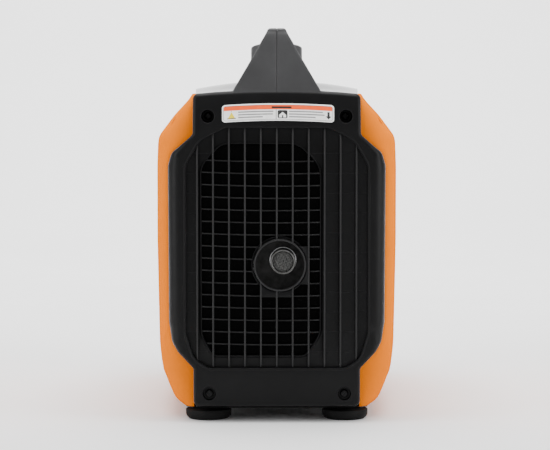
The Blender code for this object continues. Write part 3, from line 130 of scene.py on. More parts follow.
# ---- materials
class Shader:
    """A Principled material with the few node recipes that the pieces share."""

    def __init__(self, name, colour, roughness, metallic=0.0, **sockets):
        self.material = bpy.data.materials.new(name)
        self.material.use_nodes = True
        self.tree = self.material.node_tree
        self.shader = self.tree.nodes["Principled BSDF"]
        self.shader.inputs["Base Color"].default_value = (*colour, 1.0)
        self.shader.inputs["Roughness"].default_value = roughness
        self.shader.inputs["Metallic"].default_value = metallic
        for socket, value in sockets.items():
            self.shader.inputs[socket.replace("_", " ")].default_value = value
        self.place = self.tree.nodes.new("ShaderNodeTexCoord").outputs["Object"]
        self.height = None

    def node(self, kind, **values):
        made = self.tree.nodes.new(kind)
        for key, value in values.items():
            made.inputs[key].default_value = value
        return made

    def link(self, source, target):
        self.tree.links.new(source, target)

    def scaled_place(self, scale):
        mapping = self.tree.nodes.new("ShaderNodeMapping")
        mapping.inputs["Scale"].default_value = scale
        self.link(self.place, mapping.inputs["Vector"])
        return mapping.outputs["Vector"]

    def noise(self, scale, detail=3.0, stretch=None):
        made = self.node("ShaderNodeTexNoise", Scale=scale, Detail=detail, Roughness=0.55)
        self.link(self.scaled_place(stretch) if stretch else self.place, made.inputs["Vector"])
        return made.outputs["Fac"]

    def cells(self, scale):
        made = self.node("ShaderNodeTexVoronoi", Scale=scale)
        self.link(self.place, made.inputs["Vector"])
        return made.outputs["Distance"]

    def ramp(self, source, low, high, start=0.3, end=0.7):
        made = self.tree.nodes.new("ShaderNodeValToRGB")
        made.color_ramp.elements[0].position = start
        made.color_ramp.elements[1].position = end
        made.color_ramp.elements[0].color = (*low, 1.0)
        made.color_ramp.elements[1].color = (*high, 1.0)
        self.link(source, made.inputs["Fac"])
        return made.outputs["Color"]

    def mix(self, factor, first, second):
        made = self.tree.nodes.new("ShaderNodeMix")
        made.data_type = "RGBA"
        self.link(factor, made.inputs["Factor"])
        self.link(first, made.inputs["A"])
        self.link(second, made.inputs["B"])
        return made.outputs["Result"]

    def colour(self, low, high, scale, detail=4.0, stretch=None):
        """Base colour that drifts between two close tones."""
        out = self.ramp(self.noise(scale, detail, stretch), low, high)
        self.link(out, self.shader.inputs["Base Color"])
        return out

    def gloss(self, low, high, scale, stretch=None):
        """Roughness that varies between two values."""
        spread = self.node("ShaderNodeMapRange")
        spread.inputs["From Min"].default_value = 0.3
        spread.inputs["From Max"].default_value = 0.7
        spread.inputs["To Min"].default_value = low
        spread.inputs["To Max"].default_value = high
        self.link(self.noise(scale, 5.0, stretch), spread.inputs["Value"])
        self.link(spread.outputs["Result"], self.shader.inputs["Roughness"])

    def bump(self, source, distance, strength=1.0):
        made = self.node("ShaderNodeBump", Strength=strength, Distance=distance)
        self.link(source, made.inputs["Height"])
        if self.height is not None:
            self.link(self.height, made.inputs["Normal"])
        self.height = made.outputs["Normal"]
        self.link(self.height, self.shader.inputs["Normal"])

    def painted_edge_highlight(self, base, edge_highlight, start=0.53, end=0.60):
        """A painted highlight: a paler tone on convex edges, where light catches them."""
        pointy = self.tree.nodes.new("ShaderNodeNewGeometry").outputs["Pointiness"]
        highlight_mask = self.ramp(pointy, (0.0, 0.0, 0.0), (1.0, 1.0, 1.0), start, end)
        tone = self.tree.nodes.new("ShaderNodeRGB")
        tone.outputs[0].default_value = (*edge_highlight, 1.0)
        self.link(self.mix(highlight_mask, base, tone.outputs[0]), self.shader.inputs["Base Color"])


def shade(colour, factor):
    return tuple(channel * factor for channel in colour)


def moulded(name, colour, low, high, grain=0.000045, edge_highlight=1.9, drift=0.12, flow=0.25, **sockets):
    """Injection-moulded plastic: spark-eroded grain, faint flow marks and a painted highlight on convex
    edges.
    """
    made = Shader(name, colour, (low + high) / 2, **sockets)
    base = made.colour(shade(colour, 1 - drift), shade(colour, 1 + drift), 34.0)
    # Convex edges get a paler copy of the colour, a painted highlight.
    made.painted_edge_highlight(base, shade(colour, edge_highlight))
    made.gloss(low, high, 60.0)
    made.bump(made.noise(9.0, 2.0), 0.0006, flow)
    made.bump(made.noise(1500.0, 2.0), grain, 0.6)
    made.bump(made.cells(900.0), grain * 0.6, 0.4)
    return made.material


INKS = {
    "white": (0.84, 0.84, 0.83), "orange": (0.88, 0.085, 0.004), "yellow": (0.80, 0.62, 0.01),
    "grey": (0.22, 0.22, 0.22), "charcoal": (0.012, 0.012, 0.012), "green": (0.06, 0.42, 0.10),
}


def make_materials():
    # Each moulding's edge factor sets how much paler its painted highlight on convex edges is.
    black = moulded("black_moulding", (0.0022, 0.0022, 0.0024), 0.34, 0.46, edge_highlight=2.6, Specular_IOR_Level=0.13)
    # The bars, slats and exhaust ring use the cover's black painted lighter, a painted highlight.
    bars = moulded("guard_black_painted_lighter", (0.0095, 0.0095, 0.0098), 0.36, 0.50, edge_highlight=1.8, Specular_IOR_Level=0.22)
    top = moulded("top_moulding", (0.0040, 0.0040, 0.0044), 0.09, 0.15, grain=0.00001, edge_highlight=1.8,
                  Specular_IOR_Level=0.60)
    handle = moulded("handle_moulding", (0.028, 0.028, 0.029), 0.44, 0.58, edge_highlight=1.4, Specular_IOR_Level=0.30)
    orange = moulded("orange_moulding", (0.72, 0.168, 0.0), 0.38, 0.46, grain=0.00002, edge_highlight=1.03, drift=0.02,
                     flow=0.05, Specular_IOR_Level=0.0)
    socket = moulded("socket_moulding", (0.030, 0.030, 0.031), 0.30, 0.42, grain=0.00002)
    tank = moulded("tank_moulding", (0.060, 0.060, 0.066), 0.45, 0.60)
    red = moulded("red_moulding", (0.62, 0.020, 0.014), 0.25, 0.35, grain=0.00001, edge_highlight=1.1)

    rubber = Shader("rubber", (0.004, 0.004, 0.004), 0.8, Specular_IOR_Level=0.15)
    rubber.colour((0.003, 0.003, 0.003), (0.006, 0.006, 0.006), 45.0)
    rubber.gloss(0.62, 0.85, 90.0)
    rubber.bump(rubber.noise(900.0), 0.0001, 0.6)

    rope = Shader("braided_rope", (0.05, 0.05, 0.05), 0.9)
    rope.colour((0.02, 0.02, 0.02), (0.16, 0.16, 0.16), 300.0, 1.0, (1.0, 2.2, 2.2))
    rope.bump(rope.noise(700.0, 1.0, (1.0, 2.0, 2.0)), 0.0003, 0.8)

    steel = Shader("steel", (0.60, 0.60, 0.61), 0.3, 1.0)
    steel.colour((0.48, 0.48, 0.49), (0.70, 0.70, 0.71), 120.0, 6.0, (1.0, 0.15, 1.0))
    steel.gloss(0.22, 0.42, 260.0, (1.0, 0.1, 1.0))
    steel.bump(steel.noise(1600.0, 2.0, (1.0, 0.1, 1.0)), 0.00003, 0.5)

    pipe = Shader("exhaust_steel", (0.10, 0.10, 0.097), 0.34, 1.0)
    pipe.colour((0.055, 0.054, 0.052), (0.125, 0.125, 0.122), 180.0, 6.0)
    pipe.gloss(0.26, 0.48, 300.0)
    pipe.bump(pipe.noise(800.0), 0.00004, 0.5)

    wire = Shader("screen_wire", (0.12, 0.12, 0.118), 0.45, 1.0)
    wire.colour((0.05, 0.05, 0.048), (0.17, 0.17, 0.166), 700.0)
    wire.gloss(0.35, 0.6, 900.0)

    dark = Shader("blackened_steel", (0.008, 0.008, 0.0083), 0.4, 0.8)
    dark.colour((0.005, 0.005, 0.0052), (0.013, 0.013, 0.0134), 220.0)
    dark.gloss(0.30, 0.55, 240.0)
    dark.bump(dark.noise(1200.0), 0.00003, 0.5)

    soot = Shader("sooty_steel", (0.010, 0.010, 0.010), 0.75, 0.3)
    soot.colour((0.006, 0.006, 0.006), (0.022, 0.021, 0.020), 160.0, 6.0)
    soot.gloss(0.6, 0.9, 120.0)
    soot.bump(soot.noise(700.0, 6.0), 0.0002, 0.6)

    cast = Shader("cast_aluminium", (0.56, 0.57, 0.58), 0.5, 1.0)
    cast.colour((0.42, 0.43, 0.44), (0.66, 0.67, 0.68), 90.0, 6.0)
    cast.gloss(0.40, 0.62, 150.0)
    cast.bump(cast.noise(700.0, 5.0), 0.00015, 0.6)

    screen = Shader("perforated_screen", (0.001, 0.001, 0.001), 0.6)
    holes = screen.cells(720.0)
    screen.link(screen.ramp(holes, (0.0002, 0.0002, 0.0002), (0.0012, 0.0012, 0.0012), 0.30, 0.42),
                screen.shader.inputs["Base Color"])
    screen.bump(holes, 0.0004, 0.8)
    screen.shader.inputs["Specular IOR Level"].default_value = 0.03

    lens = Shader("smoked_lens", (0.03, 0.032, 0.036), 0.08)
    lens.colour((0.020, 0.022, 0.026), (0.050, 0.052, 0.058), 60.0)
    lens.bump(lens.noise(500.0), 0.00002, 0.3)

    inks = {}
    for ink, tone in INKS.items():
        made = Shader(f"print_{ink}", tone, 0.35)
        made.colour(shade(tone, 0.93), shade(tone, 1.04), 140.0)
        made.gloss(0.28, 0.42, 200.0)
        made.bump(made.noise(1800.0), 0.00001, 0.4)
        inks[f"ink_{ink}"] = made.material
    return {
        "black": black, "bars": bars, "top": top, "handle": handle, "orange": orange, "socket": socket,
        "tank": tank, "red": red, "rubber": rubber.material, "rope": rope.material, "steel": steel.material,
        "pipe": pipe.material, "wire": wire.material, "dark": dark.material, "soot": soot.material,
        "cast": cast.material, "screen": screen.material, "lens": lens.material, **inks,
    }


MATERIAL = make_materials()


# ---- shape helpers
def fillet(corners, steps=3):
    """A closed outline through (u, v, radius) corners, each rounded by an arc of its radius."""
    outline = []
    count = len(corners)
    for i, (u, v, radius) in enumerate(corners):
        here = Vector((u, v))
        back = Vector(corners[i - 1][:2]) - here
        ahead = Vector(corners[(i + 1) % count][:2]) - here
        half = back.angle(ahead) / 2
        reach = min(radius / math.tan(half), back.length * 0.49, ahead.length * 0.49)
        if reach < 1e-5 or abs(half - math.pi / 2) < 0.01:
            outline.append((here.x, here.y))
            continue
        start = here + back.normalized() * reach
        end = here + ahead.normalized() * reach
        centre = here + (back.normalized() + ahead.normalized()).normalized() * reach / math.cos(half)
        spin = (start - centre).angle_signed(end - centre)
        for step in range(steps + 1):
            turned = (start - centre) @ Matrix.Rotation(spin * step / steps, 2)
            outline.append((centre.x + turned.x, centre.y + turned.y))
    return outline


def mirrored(corners):
    return corners + [(-x, z, r) for x, z, r in reversed(corners)]


def rectangle(left, bottom, right, top, radius=0.0, steps=4):
    corners = [(left, bottom), (right, bottom), (right, top), (left, top)]
    return fillet([(u, v, radius) for u, v in corners], steps)


def circle(u, v, radius, steps=48):
    turn = 2 * math.pi / steps
    return [(u + radius * math.cos(i * turn), v + radius * math.sin(i * turn)) for i in range(steps)]


def offset(outline, distance):
    """The outline moved outwards by distance at every point. It runs anticlockwise."""
    moved = []
    count = len(outline)
    for i, point in enumerate(outline):
        before = (Vector(point) - Vector(outline[i - 1])).normalized()
        after = (Vector(outline[(i + 1) % count]) - Vector(point)).normalized()
        mitre = Vector((before.y, -before.x)) + Vector((after.y, -after.x))
        p = Vector(point) + mitre * distance / max(mitre.length_squared / 2, 0.6)
        moved.append((p.x, p.y))
    return moved


def refine(outline, most):
    """The outline with extra points, so that none is further than most from the next."""
    fine = []
    for a, b in zip(outline, outline[1:] + outline[:1]):
        a, b = Vector(a), Vector(b)
        parts = max(1, math.ceil((b - a).length / most))
        fine += [tuple(a.lerp(b, i / parts)) for i in range(parts)]
    return fine


def ray_hit(outline, centre, towards):
    """Where the ray from centre towards a point crosses the outline furthest out."""
    cx, cz = centre
    dx, dz = towards[0] - cx, towards[1] - cz
    best = None
    for (x0, z0), (x1, z1) in zip(outline, outline[1:] + outline[:1]):
        ex, ez = x1 - x0, z1 - z0
        cross = dx * ez - dz * ex
        if abs(cross) < 1e-14:
            continue
        t = ((x0 - cx) * ez - (z0 - cz) * ex) / cross
        s = ((x0 - cx) * dz - (z0 - cz) * dx) / cross
        if t > 0 and -1e-9 <= s <= 1 + 1e-9 and (best is None or t > best):
            best = t
    return (cx + dx * best, cz + dz * best)


def between(table, t):
    if t <= table[0][0]:
        return table[0][1]
    for (t0, v0), (t1, v1) in zip(table, table[1:]):
        if t <= t1:
            return v0 + (v1 - v0) * (t - t0) / (t1 - t0)
    return table[-1][1]


def softened(table, t, reach, samples=9):
    """The table's reading averaged over a short stretch, which rounds its corners."""
    low, high = table[0][0], table[-1][0]
    reach = min(reach, t - low, high - t)
    if reach <= 0:
        return between(table, t)
    return sum(between(table, t + reach * (2 * i / (samples - 1) - 1)) for i in range(samples)) / samples


def ease(t):
    t = max(0.0, min(1.0, t))
    return t * t * (3 - 2 * t)


def spaced(low, high, count):
    return [low + (high - low) * i / (count - 1) for i in range(count)]


def new_object(name, bm):
    """An object that holds the shape, linked to the scene."""
    mesh = bpy.data.meshes.new(name)
    bm.to_mesh(mesh)
    bm.free()
    obj = bpy.data.objects.new(name, mesh)
    bpy.context.scene.collection.objects.link(obj)
    return obj


def piece(name, bm, material, body="body", smooth=35.0, replaces=()):
    """A finished piece that rides on a body. material is one material or a list of them."""
    bmesh.ops.recalc_face_normals(bm, faces=bm.faces)
    obj = new_object(name, bm)
    for each in material if isinstance(material, list) else [material]:
        obj.data.materials.append(MATERIAL[each])
    if smooth:
        obj.data.shade_smooth()
        obj.data.set_sharp_from_angle(angle=math.radians(smooth))
    if body:
        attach(obj, body)
    if replaces:
        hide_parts(*replaces)
    return obj


def skin(bm, loops, cyclic=True, ring=False, material=0):
    """Faces between successive loops of points. ring also joins the last loop to the first."""
    rows = [[bm.verts.new(point) for point in loop] for loop in loops]
    pairs = list(zip(rows, rows[1:])) + ([(rows[-1], rows[0])] if ring else [])
    for low, high in pairs:
        for i in range(len(low) if cyclic else len(low) - 1):
            j = (i + 1) % len(low)
            bm.faces.new((low[i], low[j], high[j], high[i])).material_index = material
    return rows


def prism(bm, loops):
    """A skin closed by a flat face at each end."""
    rows = skin(bm, loops)
    bm.faces.new(rows[0])
    bm.faces.new(rows[-1])


def turned_point(turn, radius, angle, height):
    return turn @ Vector((radius * math.cos(angle), radius * math.sin(angle), height))


def lathe(bm, profile, centre, axis, steps=48, flute=None):
    """A closed turned shape. profile holds (radius, height); a radius of 0 is a point on the axis.

    flute(angle, radius, height) may return another radius.
    """
    turn = Vector(axis).to_track_quat("Z", "Y").to_matrix()
    centre = Vector(centre)
    rows = []
    for radius, height in profile:
        if radius <= 0:
            rows.append([bm.verts.new(centre + turn @ Vector((0, 0, height)))])
            continue
        row = []
        for i in range(steps):
            angle = 2 * math.pi * i / steps
            reach = flute(angle, radius, height) if flute else radius
            row.append(bm.verts.new(centre + turned_point(turn, reach, angle, height)))
        rows.append(row)
    for low, high in zip(rows, rows[1:]):
        for i in range(steps):
            j = (i + 1) % steps
            if len(low) == 1:
                bm.faces.new((low[0], high[j], high[i]))
            elif len(high) == 1:
                bm.faces.new((low[i], low[j], high[0]))
            else:
                bm.faces.new((low[i], low[j], high[j], high[i]))


def ring_lathe(bm, profile, centre, axis, steps=96):
    """A turned ring from a closed profile of (radius, height)."""
    turn = Vector(axis).to_track_quat("Z", "Y").to_matrix()
    angles = [2 * math.pi * i / steps for i in range(steps)]
    skin(bm, [[Vector(centre) + turned_point(turn, radius, angle, height) for angle in angles]
              for radius, height in profile], ring=True)


def twin_sided(inner, outer, side):
    """Profile of a ring. side holds (distance in from either wall, height) from the back to the front."""
    inside = [(inner + inset, height) for inset, height in side]
    return inside + [(outer - inset, height) for inset, height in side[::-1]]


ORDER = {
    "X": lambda u, v, w: (w, u, v),
    "Y": lambda u, v, w: (u, w, v),
    "Z": lambda u, v, w: (u, v, w),
}


def slab(bm, outline, low, high, facing, edge=0.0004):
    """A flat outline made solid along an axis, with its two rims rounded by edge."""
    order = ORDER[facing]
    rim = [(offset(outline, -edge), 0.0), (offset(outline, -edge * 0.3), edge * 0.3), (outline, edge)]
    levels = [(loop, low + rise) for loop, rise in rim]
    levels += [(loop, high - rise) for loop, rise in reversed(rim)]
    prism(bm, [[order(u, v, level) for u, v in loop] for loop, level in levels])


def cutter(bm, name):
    bmesh.ops.recalc_face_normals(bm, faces=bm.faces)
    return new_object(name, bm)


def carve(obj, cutters, operation="DIFFERENCE"):
    """Cut shapes out of a mesh and keep only the result."""
    for each in cutters:
        step = obj.modifiers.new("cut", "BOOLEAN")
        step.operation = operation
        step.object = each
        step.solver = "EXACT"
    bake(obj)
    for each in cutters:
        bpy.data.objects.remove(each)


def bake(obj):
    """Replace the mesh by what its modifiers make of it."""
    bpy.context.view_layer.update()
    made = bpy.data.meshes.new_from_object(obj.evaluated_get(bpy.context.evaluated_depsgraph_get()))
    obj.modifiers.clear()
    obj.data = made


def outline_cutter(outline, low, high, facing):
    bm = bmesh.new()
    prism(bm, [[ORDER[facing](u, v, w) for u, v in outline] for w in (low, high)])
    return cutter(bm, "outline_cut")


def round_cutter(u, v, radius, start, end, facing="Y", steps=48):
    return outline_cutter(circle(u, v, radius, steps), min(start, end), max(start, end), facing)


def thicken(obj, thickness):
    wall = obj.modifiers.new("wall", "SOLIDIFY")
    wall.thickness = thickness
    wall.offset = -1.0


def soften_edges(obj, width=0.0005, segments=2, angle=50.0):
    edge = obj.modifiers.new("edge", "BEVEL")
    edge.width = width
    edge.segments = segments
    edge.limit_method = "ANGLE"
    edge.angle_limit = math.radians(angle)
    edge.harden_normals = False
    return obj


# ---- outer surfaces of the body
GAP = 0.0003
BULGE = 0.0104
SHOULDER = 0.0247
CROWN_RAMP = 0.060
PANEL_OPENING = (-0.082, 0.118, 0.082, 0.336, 0.012)
ROPE_Y, ROPE_Z = 0.066, 0.176
FUEL_Y, CAP_TOP, CAP_FOOT = 0.030, 0.3950, 0.3690
GRIP_RECESS = (ROPE_Y - 0.0225, ROPE_Z - 0.055, ROPE_Y + 0.0225, ROPE_Z + 0.055)
SERVICE_DOOR = (-0.135, 0.098, -0.010, 0.250)


def cover_outline():
    crown = [(x, z, 0.0) for x, z in CROWN_OF_COVER]
    other = [(-x, z, r) for x, z, r in reversed(COVER_CORNERS + crown[:-1])]
    return refine(fillet(COVER_CORNERS + crown + other, 6), 0.004)


COVER = cover_outline()
FIELD = refine(fillet(mirrored(FIELD_CORNERS), 8), 0.004)
WINDOW = refine(fillet(WINDOW_CORNERS, 8), 0.004)


def cover_half_width(z):
    """Half-width of an end cover at height z."""
    best = None
    for (x0, z0), (x1, z1) in zip(COVER, COVER[1:]):
        if (z0 - z) * (z1 - z) <= 0 and z0 != z1 and min(x0, x1) > 0.05:
            x = x0 + (x1 - x0) * (z - z0) / (z1 - z0)
            best = x if best is None else max(best, x)
    return COVER_CORNERS[0][0] if best is None else best


WIDTHS = [(z, cover_half_width(z)) for z in spaced(0.0200, 0.3640, 400)]


def edge_rounding(z):
    """Radius of an end cover's front edge: full on the side columns, tight at the top and bottom."""
    return 0.0045 + 0.0105 * ease((z - 0.062) / 0.040) * ease((0.312 - z) / 0.030)


def lean(z):
    """How far an end cover's face falls back above and below its middle."""
    above = max(0.0, (z - 0.3225) / 0.046)
    below = max(0.0, (0.0520 - z) / 0.040)
    return 0.0085 * above ** 2 + 0.0050 * below ** 2


def ramp(y):
    return ease((COVER_BACK - abs(y)) / CROWN_RAMP)


def side_point(y, z):
    """A point of the +X side panel's outer surface."""
    middle = ease((z - 0.015) / 0.060) * ease((0.372 - z) / 0.050)
    full = softened(SIDE_PROFILE, z, 0.004) + BULGE * max(0.0, 1 - (y / 0.190) ** 2) * (0.25 + 0.75 * middle)
    inward = max(0.0, min(1.0, (COVER_BACK - GAP - abs(y)) / SHOULDER))
    share = math.sin(math.acos(1 - inward))
    edge = between(WIDTHS, z) + SEAM
    return Vector((edge + (full - edge) * share, y, z))


def top_half_width(y):
    return side_point(y, TOP_EDGE).x - SEAM


def crown(x, y):
    """Height of the top cover's outer surface."""
    share = min(1.0, abs(x) / top_half_width(y))
    return 0.364 + 0.005 * ramp(y) + (0.0045 + 0.0055 * ramp(y)) * (1 - share ** 2)


# ---- end covers
def cover_shell(name, out, opening, wall_end, bead):
    """An end cover: a tray with a rounded edge, a face that leans back at top and bottom, and one opening."""
    def at(x, z, sink):
        return (x, out * (HALF_LENGTH - lean(z) - sink), z)

    def hits(outline, points):
        return [ray_hit(outline, CREST, point) for point in points]

    def tray(inset, degrees):
        base = offset(COVER, -inset)
        rows = []
        for angle in map(math.radians, degrees):
            row = []
            for (x, z), (nx, nz) in zip(base, offset(base, 1.0)):
                radius = max(edge_rounding(z) - inset, 0.0015)
                turned = Vector((x - nx, z - nz)).normalized() * radius * (1 - math.cos(angle))
                row.append(at(x + turned.x, z + turned.y, inset + radius * (1 - math.sin(angle))))
            rows.append(row)
        return rows

    outer = tray(0.0, (90, 78, 64, 50, 36, 22, 10, 0))
    inner = tray(WALL, (0, 45, 90))
    rim = [(p[0], p[2]) for p in outer[0]]

    def face(distance, shares, sink):
        """Loops between the opening, grown by distance, and the rim."""
        pairs = [(Vector(a), Vector(b)) for a, b in zip(hits(offset(opening, distance), rim), rim)]
        return [[at(*a.lerp(b, share), sink) for a, b in pairs] for share in shares]

    loops = []
    for distance, sink in bead:
        loops.append([at(x, z, sink) for x, z in hits(offset(opening, distance), rim)])
    loops += face(bead[-1][0], (0.12, 0.3, 0.5, 0.7, 0.88), 0.0)
    loops += outer
    back = out * (COVER_BACK + GAP)
    base = offset(COVER, -WALL)
    loops.append([(x, back + out * 0.0005, z) for x, z in COVER])
    loops.append([(x, back, z) for x, z in offset(COVER, -0.0005)])
    loops.append([(x, back, z) for x, z in base])
    loops += inner
    loops += face(0.0022, (0.6, 0.3, 0.0), WALL)
    loops.append([(x, out * wall_end, z) for x, z in hits(offset(opening, 0.0020), rim)])
    loops.append([(x, out * wall_end, z) for x, z in hits(opening, rim)])
    bm = bmesh.new()
    skin(bm, loops, ring=True)
    return piece(name + "_shell", bm, "black", smooth=40, replaces=(name,))


def pocket(x, z, out, floor):
    """A screw pocket's cup, with a rounded rim that follows the face of its end cover."""
    rim = HALF_LENGTH - lean(z) - floor
    profile = [
        (0.0, 0.0), (0.0067, 0.0), (0.0073, 0.0006), (0.0073, rim - 0.0007), (0.0075, rim - 0.0001),
        (0.0078, rim + 0.0001), (0.0082, rim), (0.0085, rim - 0.0006), (0.0086, rim - 0.0030),
        (0.0086, -0.0015), (0.0, -0.0015),
    ]
    bm = bmesh.new()
    lathe(bm, profile, (x, out * floor, z), (0, out, 0))
    for vertex in bm.verts:
        depth = out * vertex.co.y - floor
        if depth > 0.001:
            vertex.co.y -= out * (lean(vertex.co.z) - lean(z)) * depth / rim
    side = "left" if x < 0 else "right"
    level = "upper" if z > 0.2 else "lower"
    end = "rear" if out < 0 else "front"
    piece(f"{end}_cover_pocket_{level}_{side}", bm, "black")


def screw(name, centre, axis, radius=0.0048, replaces=()):
    """Pan-head screw with a cross recess."""
    bm = bmesh.new()
    profile = [(0.0, 0.0030), (radius * 0.45, 0.0029), (radius * 0.78, 0.0024), (radius * 0.95, 0.0015),
               (radius, 0.0006), (radius * 0.97, 0.0), (0.0020, 0.0), (0.0020, -0.0120), (0.0, -0.0140)]
    lathe(bm, profile, centre, axis, 40)
    head = piece(name, bm, "dark", replaces=replaces)
    turn = Vector(axis).to_track_quat("Z", "Y").to_matrix().to_4x4()
    cutters = []
    for wide, tall in ((radius * 0.56, radius * 0.12), (radius * 0.12, radius * 0.56)):
        bm = bmesh.new()
        bmesh.ops.create_cube(bm, size=2.0, matrix=Matrix.Diagonal((wide, tall, 0.0014, 1.0)))
        bmesh.ops.transform(bm, matrix=Matrix.Translation(centre) @ turn @ Matrix.Translation((0, 0, 0.0030)),
                            verts=bm.verts)
        cutters.append(cutter(bm, "cross"))
    carve(head, cutters)
    soften_edges(head, 0.00012, 1, 40)


def rear_cover():
    bead = [(0.0, 0.0012), (0.0001, 0.0003), (0.0004, -0.0001), (0.0010, -0.0004), (0.0016, -0.0004),
            (0.0022, -0.0001), (0.0026, 0.0001), (0.0036, 0.0)]
    cover = cover_shell("rear_cover", -1, FIELD, 0.2426, bead)
    cuts = []
    levels = (("upper", UPPER_SCREW, UPPER_POCKET_FLOOR), ("lower", LOWER_SCREW, LOWER_POCKET_FLOOR))
    for side, number in ((-1, 1), (1, 2)):
        for level, (x, z), floor in levels:
            cuts.append(round_cutter(side * x, z, 0.0081, -0.26, -0.22))
            pocket(side * x, z, -1, floor)
            screw(f"{level}_screw_head_{number}", Vector((side * x, -floor - GAP, z)), (0, -1, 0),
                  replaces=(f"{level}_screw_{number}",))
    carve(cover, cuts)


def front_cover():
    opening = refine(rectangle(*PANEL_OPENING, 8), 0.004)
    bead = [(0.0, 0.0014), (0.0002, 0.0005), (0.0006, 0.0001), (0.0013, 0.0)]
    cover = cover_shell("front_cover", 1, opening, 0.2352, bead)
    cuts = []
    for i in range(6):
        z, half = 0.046 + i * 0.0105, 0.078 if i else 0.060
        cuts.append(outline_cutter(rectangle(-half, z, half, z + 0.0055, 0.0027, 6), 0.228, 0.262, "Y"))
    carve(cover, cuts)
    soften_edges(cover, 0.0004, 2, 60)


def bar(bm, x, low, high, soft_low, soft_high):
    """One bar of the guard. Its front is rounded, and it thins towards an end that meets the border."""
    count = max(6, int((high - low) / 0.006))
    stations = sorted({low, low + 0.001, low + 0.0025, low + 0.0045, *spaced(low, high, count)[1:-1],
                       high - 0.0045, high - 0.0025, high - 0.001, high})
    loops = []
    for z in stations:
        thin = 0.0
        for end, soft in ((z - low, soft_low), (high - z, soft_high)):
            thin = max(thin, soft * max(0.0, 1 - end / 0.009) ** 2)
        half = BAR_WIDTH / 2 * (1 - 0.30 * thin)
        front, back = -0.2491 + 0.0022 * thin, -0.2430
        arc = [(-half * math.cos(a), front + half * (1 - math.sin(a))) for a in spaced(0, math.pi, 7)]
        loops.append([(x + u, y, z) for u, y in [(-half, back), *arc, (half, back)]])
    prism(bm, loops)


def crossings_at(outline, z):
    """The least and greatest x at which the outline crosses height z."""
    found = [x0 + (x1 - x0) * (z - z0) / (z1 - z0)
             for (x0, z0), (x1, z1) in zip(outline, outline[1:] + outline[:1]) if (z0 - z) * (z1 - z) < 0]
    return min(found), max(found)


def reach_at(outline, x):
    """The least and greatest height at which the outline crosses x, read just beside x."""
    return crossings_at([(z, u) for u, z in outline], x + 1e-7)


def guard():
    """The bars, with the ring round the exhaust and the two plain patches beside it."""
    ring_x, ring_z = EXHAUST
    bm = bmesh.new()
    for i in range(-5, 6):
        x = i * BAR_PITCH
        low, high = reach_at(FIELD, x)
        low, high = low - 0.0006, high + 0.0006
        near = abs(x - ring_x)
        if near < EXHAUST_RING:
            half = math.sqrt(EXHAUST_RING ** 2 - near ** 2)
            bar(bm, x, low, ring_z - half, 1.0, 0.3)
            bar(bm, x, ring_z + half, high, 0.3, 1.0)
        else:
            bar(bm, x, low, high, 1.0, 1.0)
    piece("rear_cover_bars", bm, "bars", smooth=50)

    bm = bmesh.new()
    side = ((0.0, 0.2429), (0.0, 0.2488), (0.0003, 0.2493), (0.0007, 0.2496))
    profile = twin_sided(EXHAUST_RING - 0.0010, EXHAUST_RING + 0.0010, side)
    ring_lathe(bm, profile, (ring_x, 0, ring_z), (0, -1, 0))
    piece("rear_cover_exhaust_ring", bm, "bars", smooth=50)

    for name, corners in (("below", (-BAR_PITCH, 0.1360, BAR_PITCH, 0.1550)),
                          ("beside", (BAR_PITCH, 0.1510, 2 * BAR_PITCH, 0.1933))):
        bm = bmesh.new()
        slab(bm, rectangle(*corners, 0.0010, 4), -0.2482, -0.2455, "Y", 0.0006)
        patch = piece(f"rear_cover_patch_{name}", bm, "black", smooth=50)
        carve(patch, [round_cutter(ring_x, ring_z, EXHAUST_RING, -0.26, -0.24, steps=96)])


# ---- air outlet behind the bars
def grille():
    """The duct's face: a plate with a beaded window, slats across it and a fine screen behind them."""
    centre = (-0.018, 0.190)     # of the rays between the plate's loops
    front, back = GRILLE_Y, GRILLE_Y + 0.0020
    outer = refine(offset(FIELD, 0.0030), 0.003)
    bm = bmesh.new()
    loops = [[(x, back, z) for x, z in outer], [(x, front, z) for x, z in outer]]
    bead = [(0.0030, 0.0), (0.0024, -0.0002), (0.0019, -0.0008), (0.0012, -0.0011), (0.0005, -0.0009),
            (0.0001, -0.0003), (0.0, 0.0006), (0.0, back - front)]
    for distance, sink in bead:
        edge = offset(WINDOW, distance)
        loops.append([(x, front + sink, z) for x, z in (ray_hit(edge, centre, point) for point in outer)])
    skin(bm, loops, ring=True)
    piece("rear_grille_plate", bm, "black", smooth=50, replaces=("rear_grille",))

    slats()
    ridges(front)

    bm = bmesh.new()
    hole = circle(*EXHAUST, 0.0303, 96)
    edge = [ray_hit(offset(WINDOW, 0.0012), EXHAUST, point) for point in hole]
    corners = ((hole, -0.2374), (edge, -0.2374), (edge, -0.2366), (hole, -0.2366))
    skin(bm, [[(x, y, z) for x, z in loop] for loop, y in corners], ring=True)
    piece("rear_grille_screen", bm, "screen", smooth=0)

    bm = bmesh.new()
    side = ((0.0, -0.0010), (0.0, 0.0030), (0.0004, 0.0034))
    ring_lathe(bm, twin_sided(0.0304, 0.0324, side), (EXHAUST[0], -0.2384, EXHAUST[1]), (0, -1, 0))
    piece("rear_grille_seat", bm, "black", smooth=50)


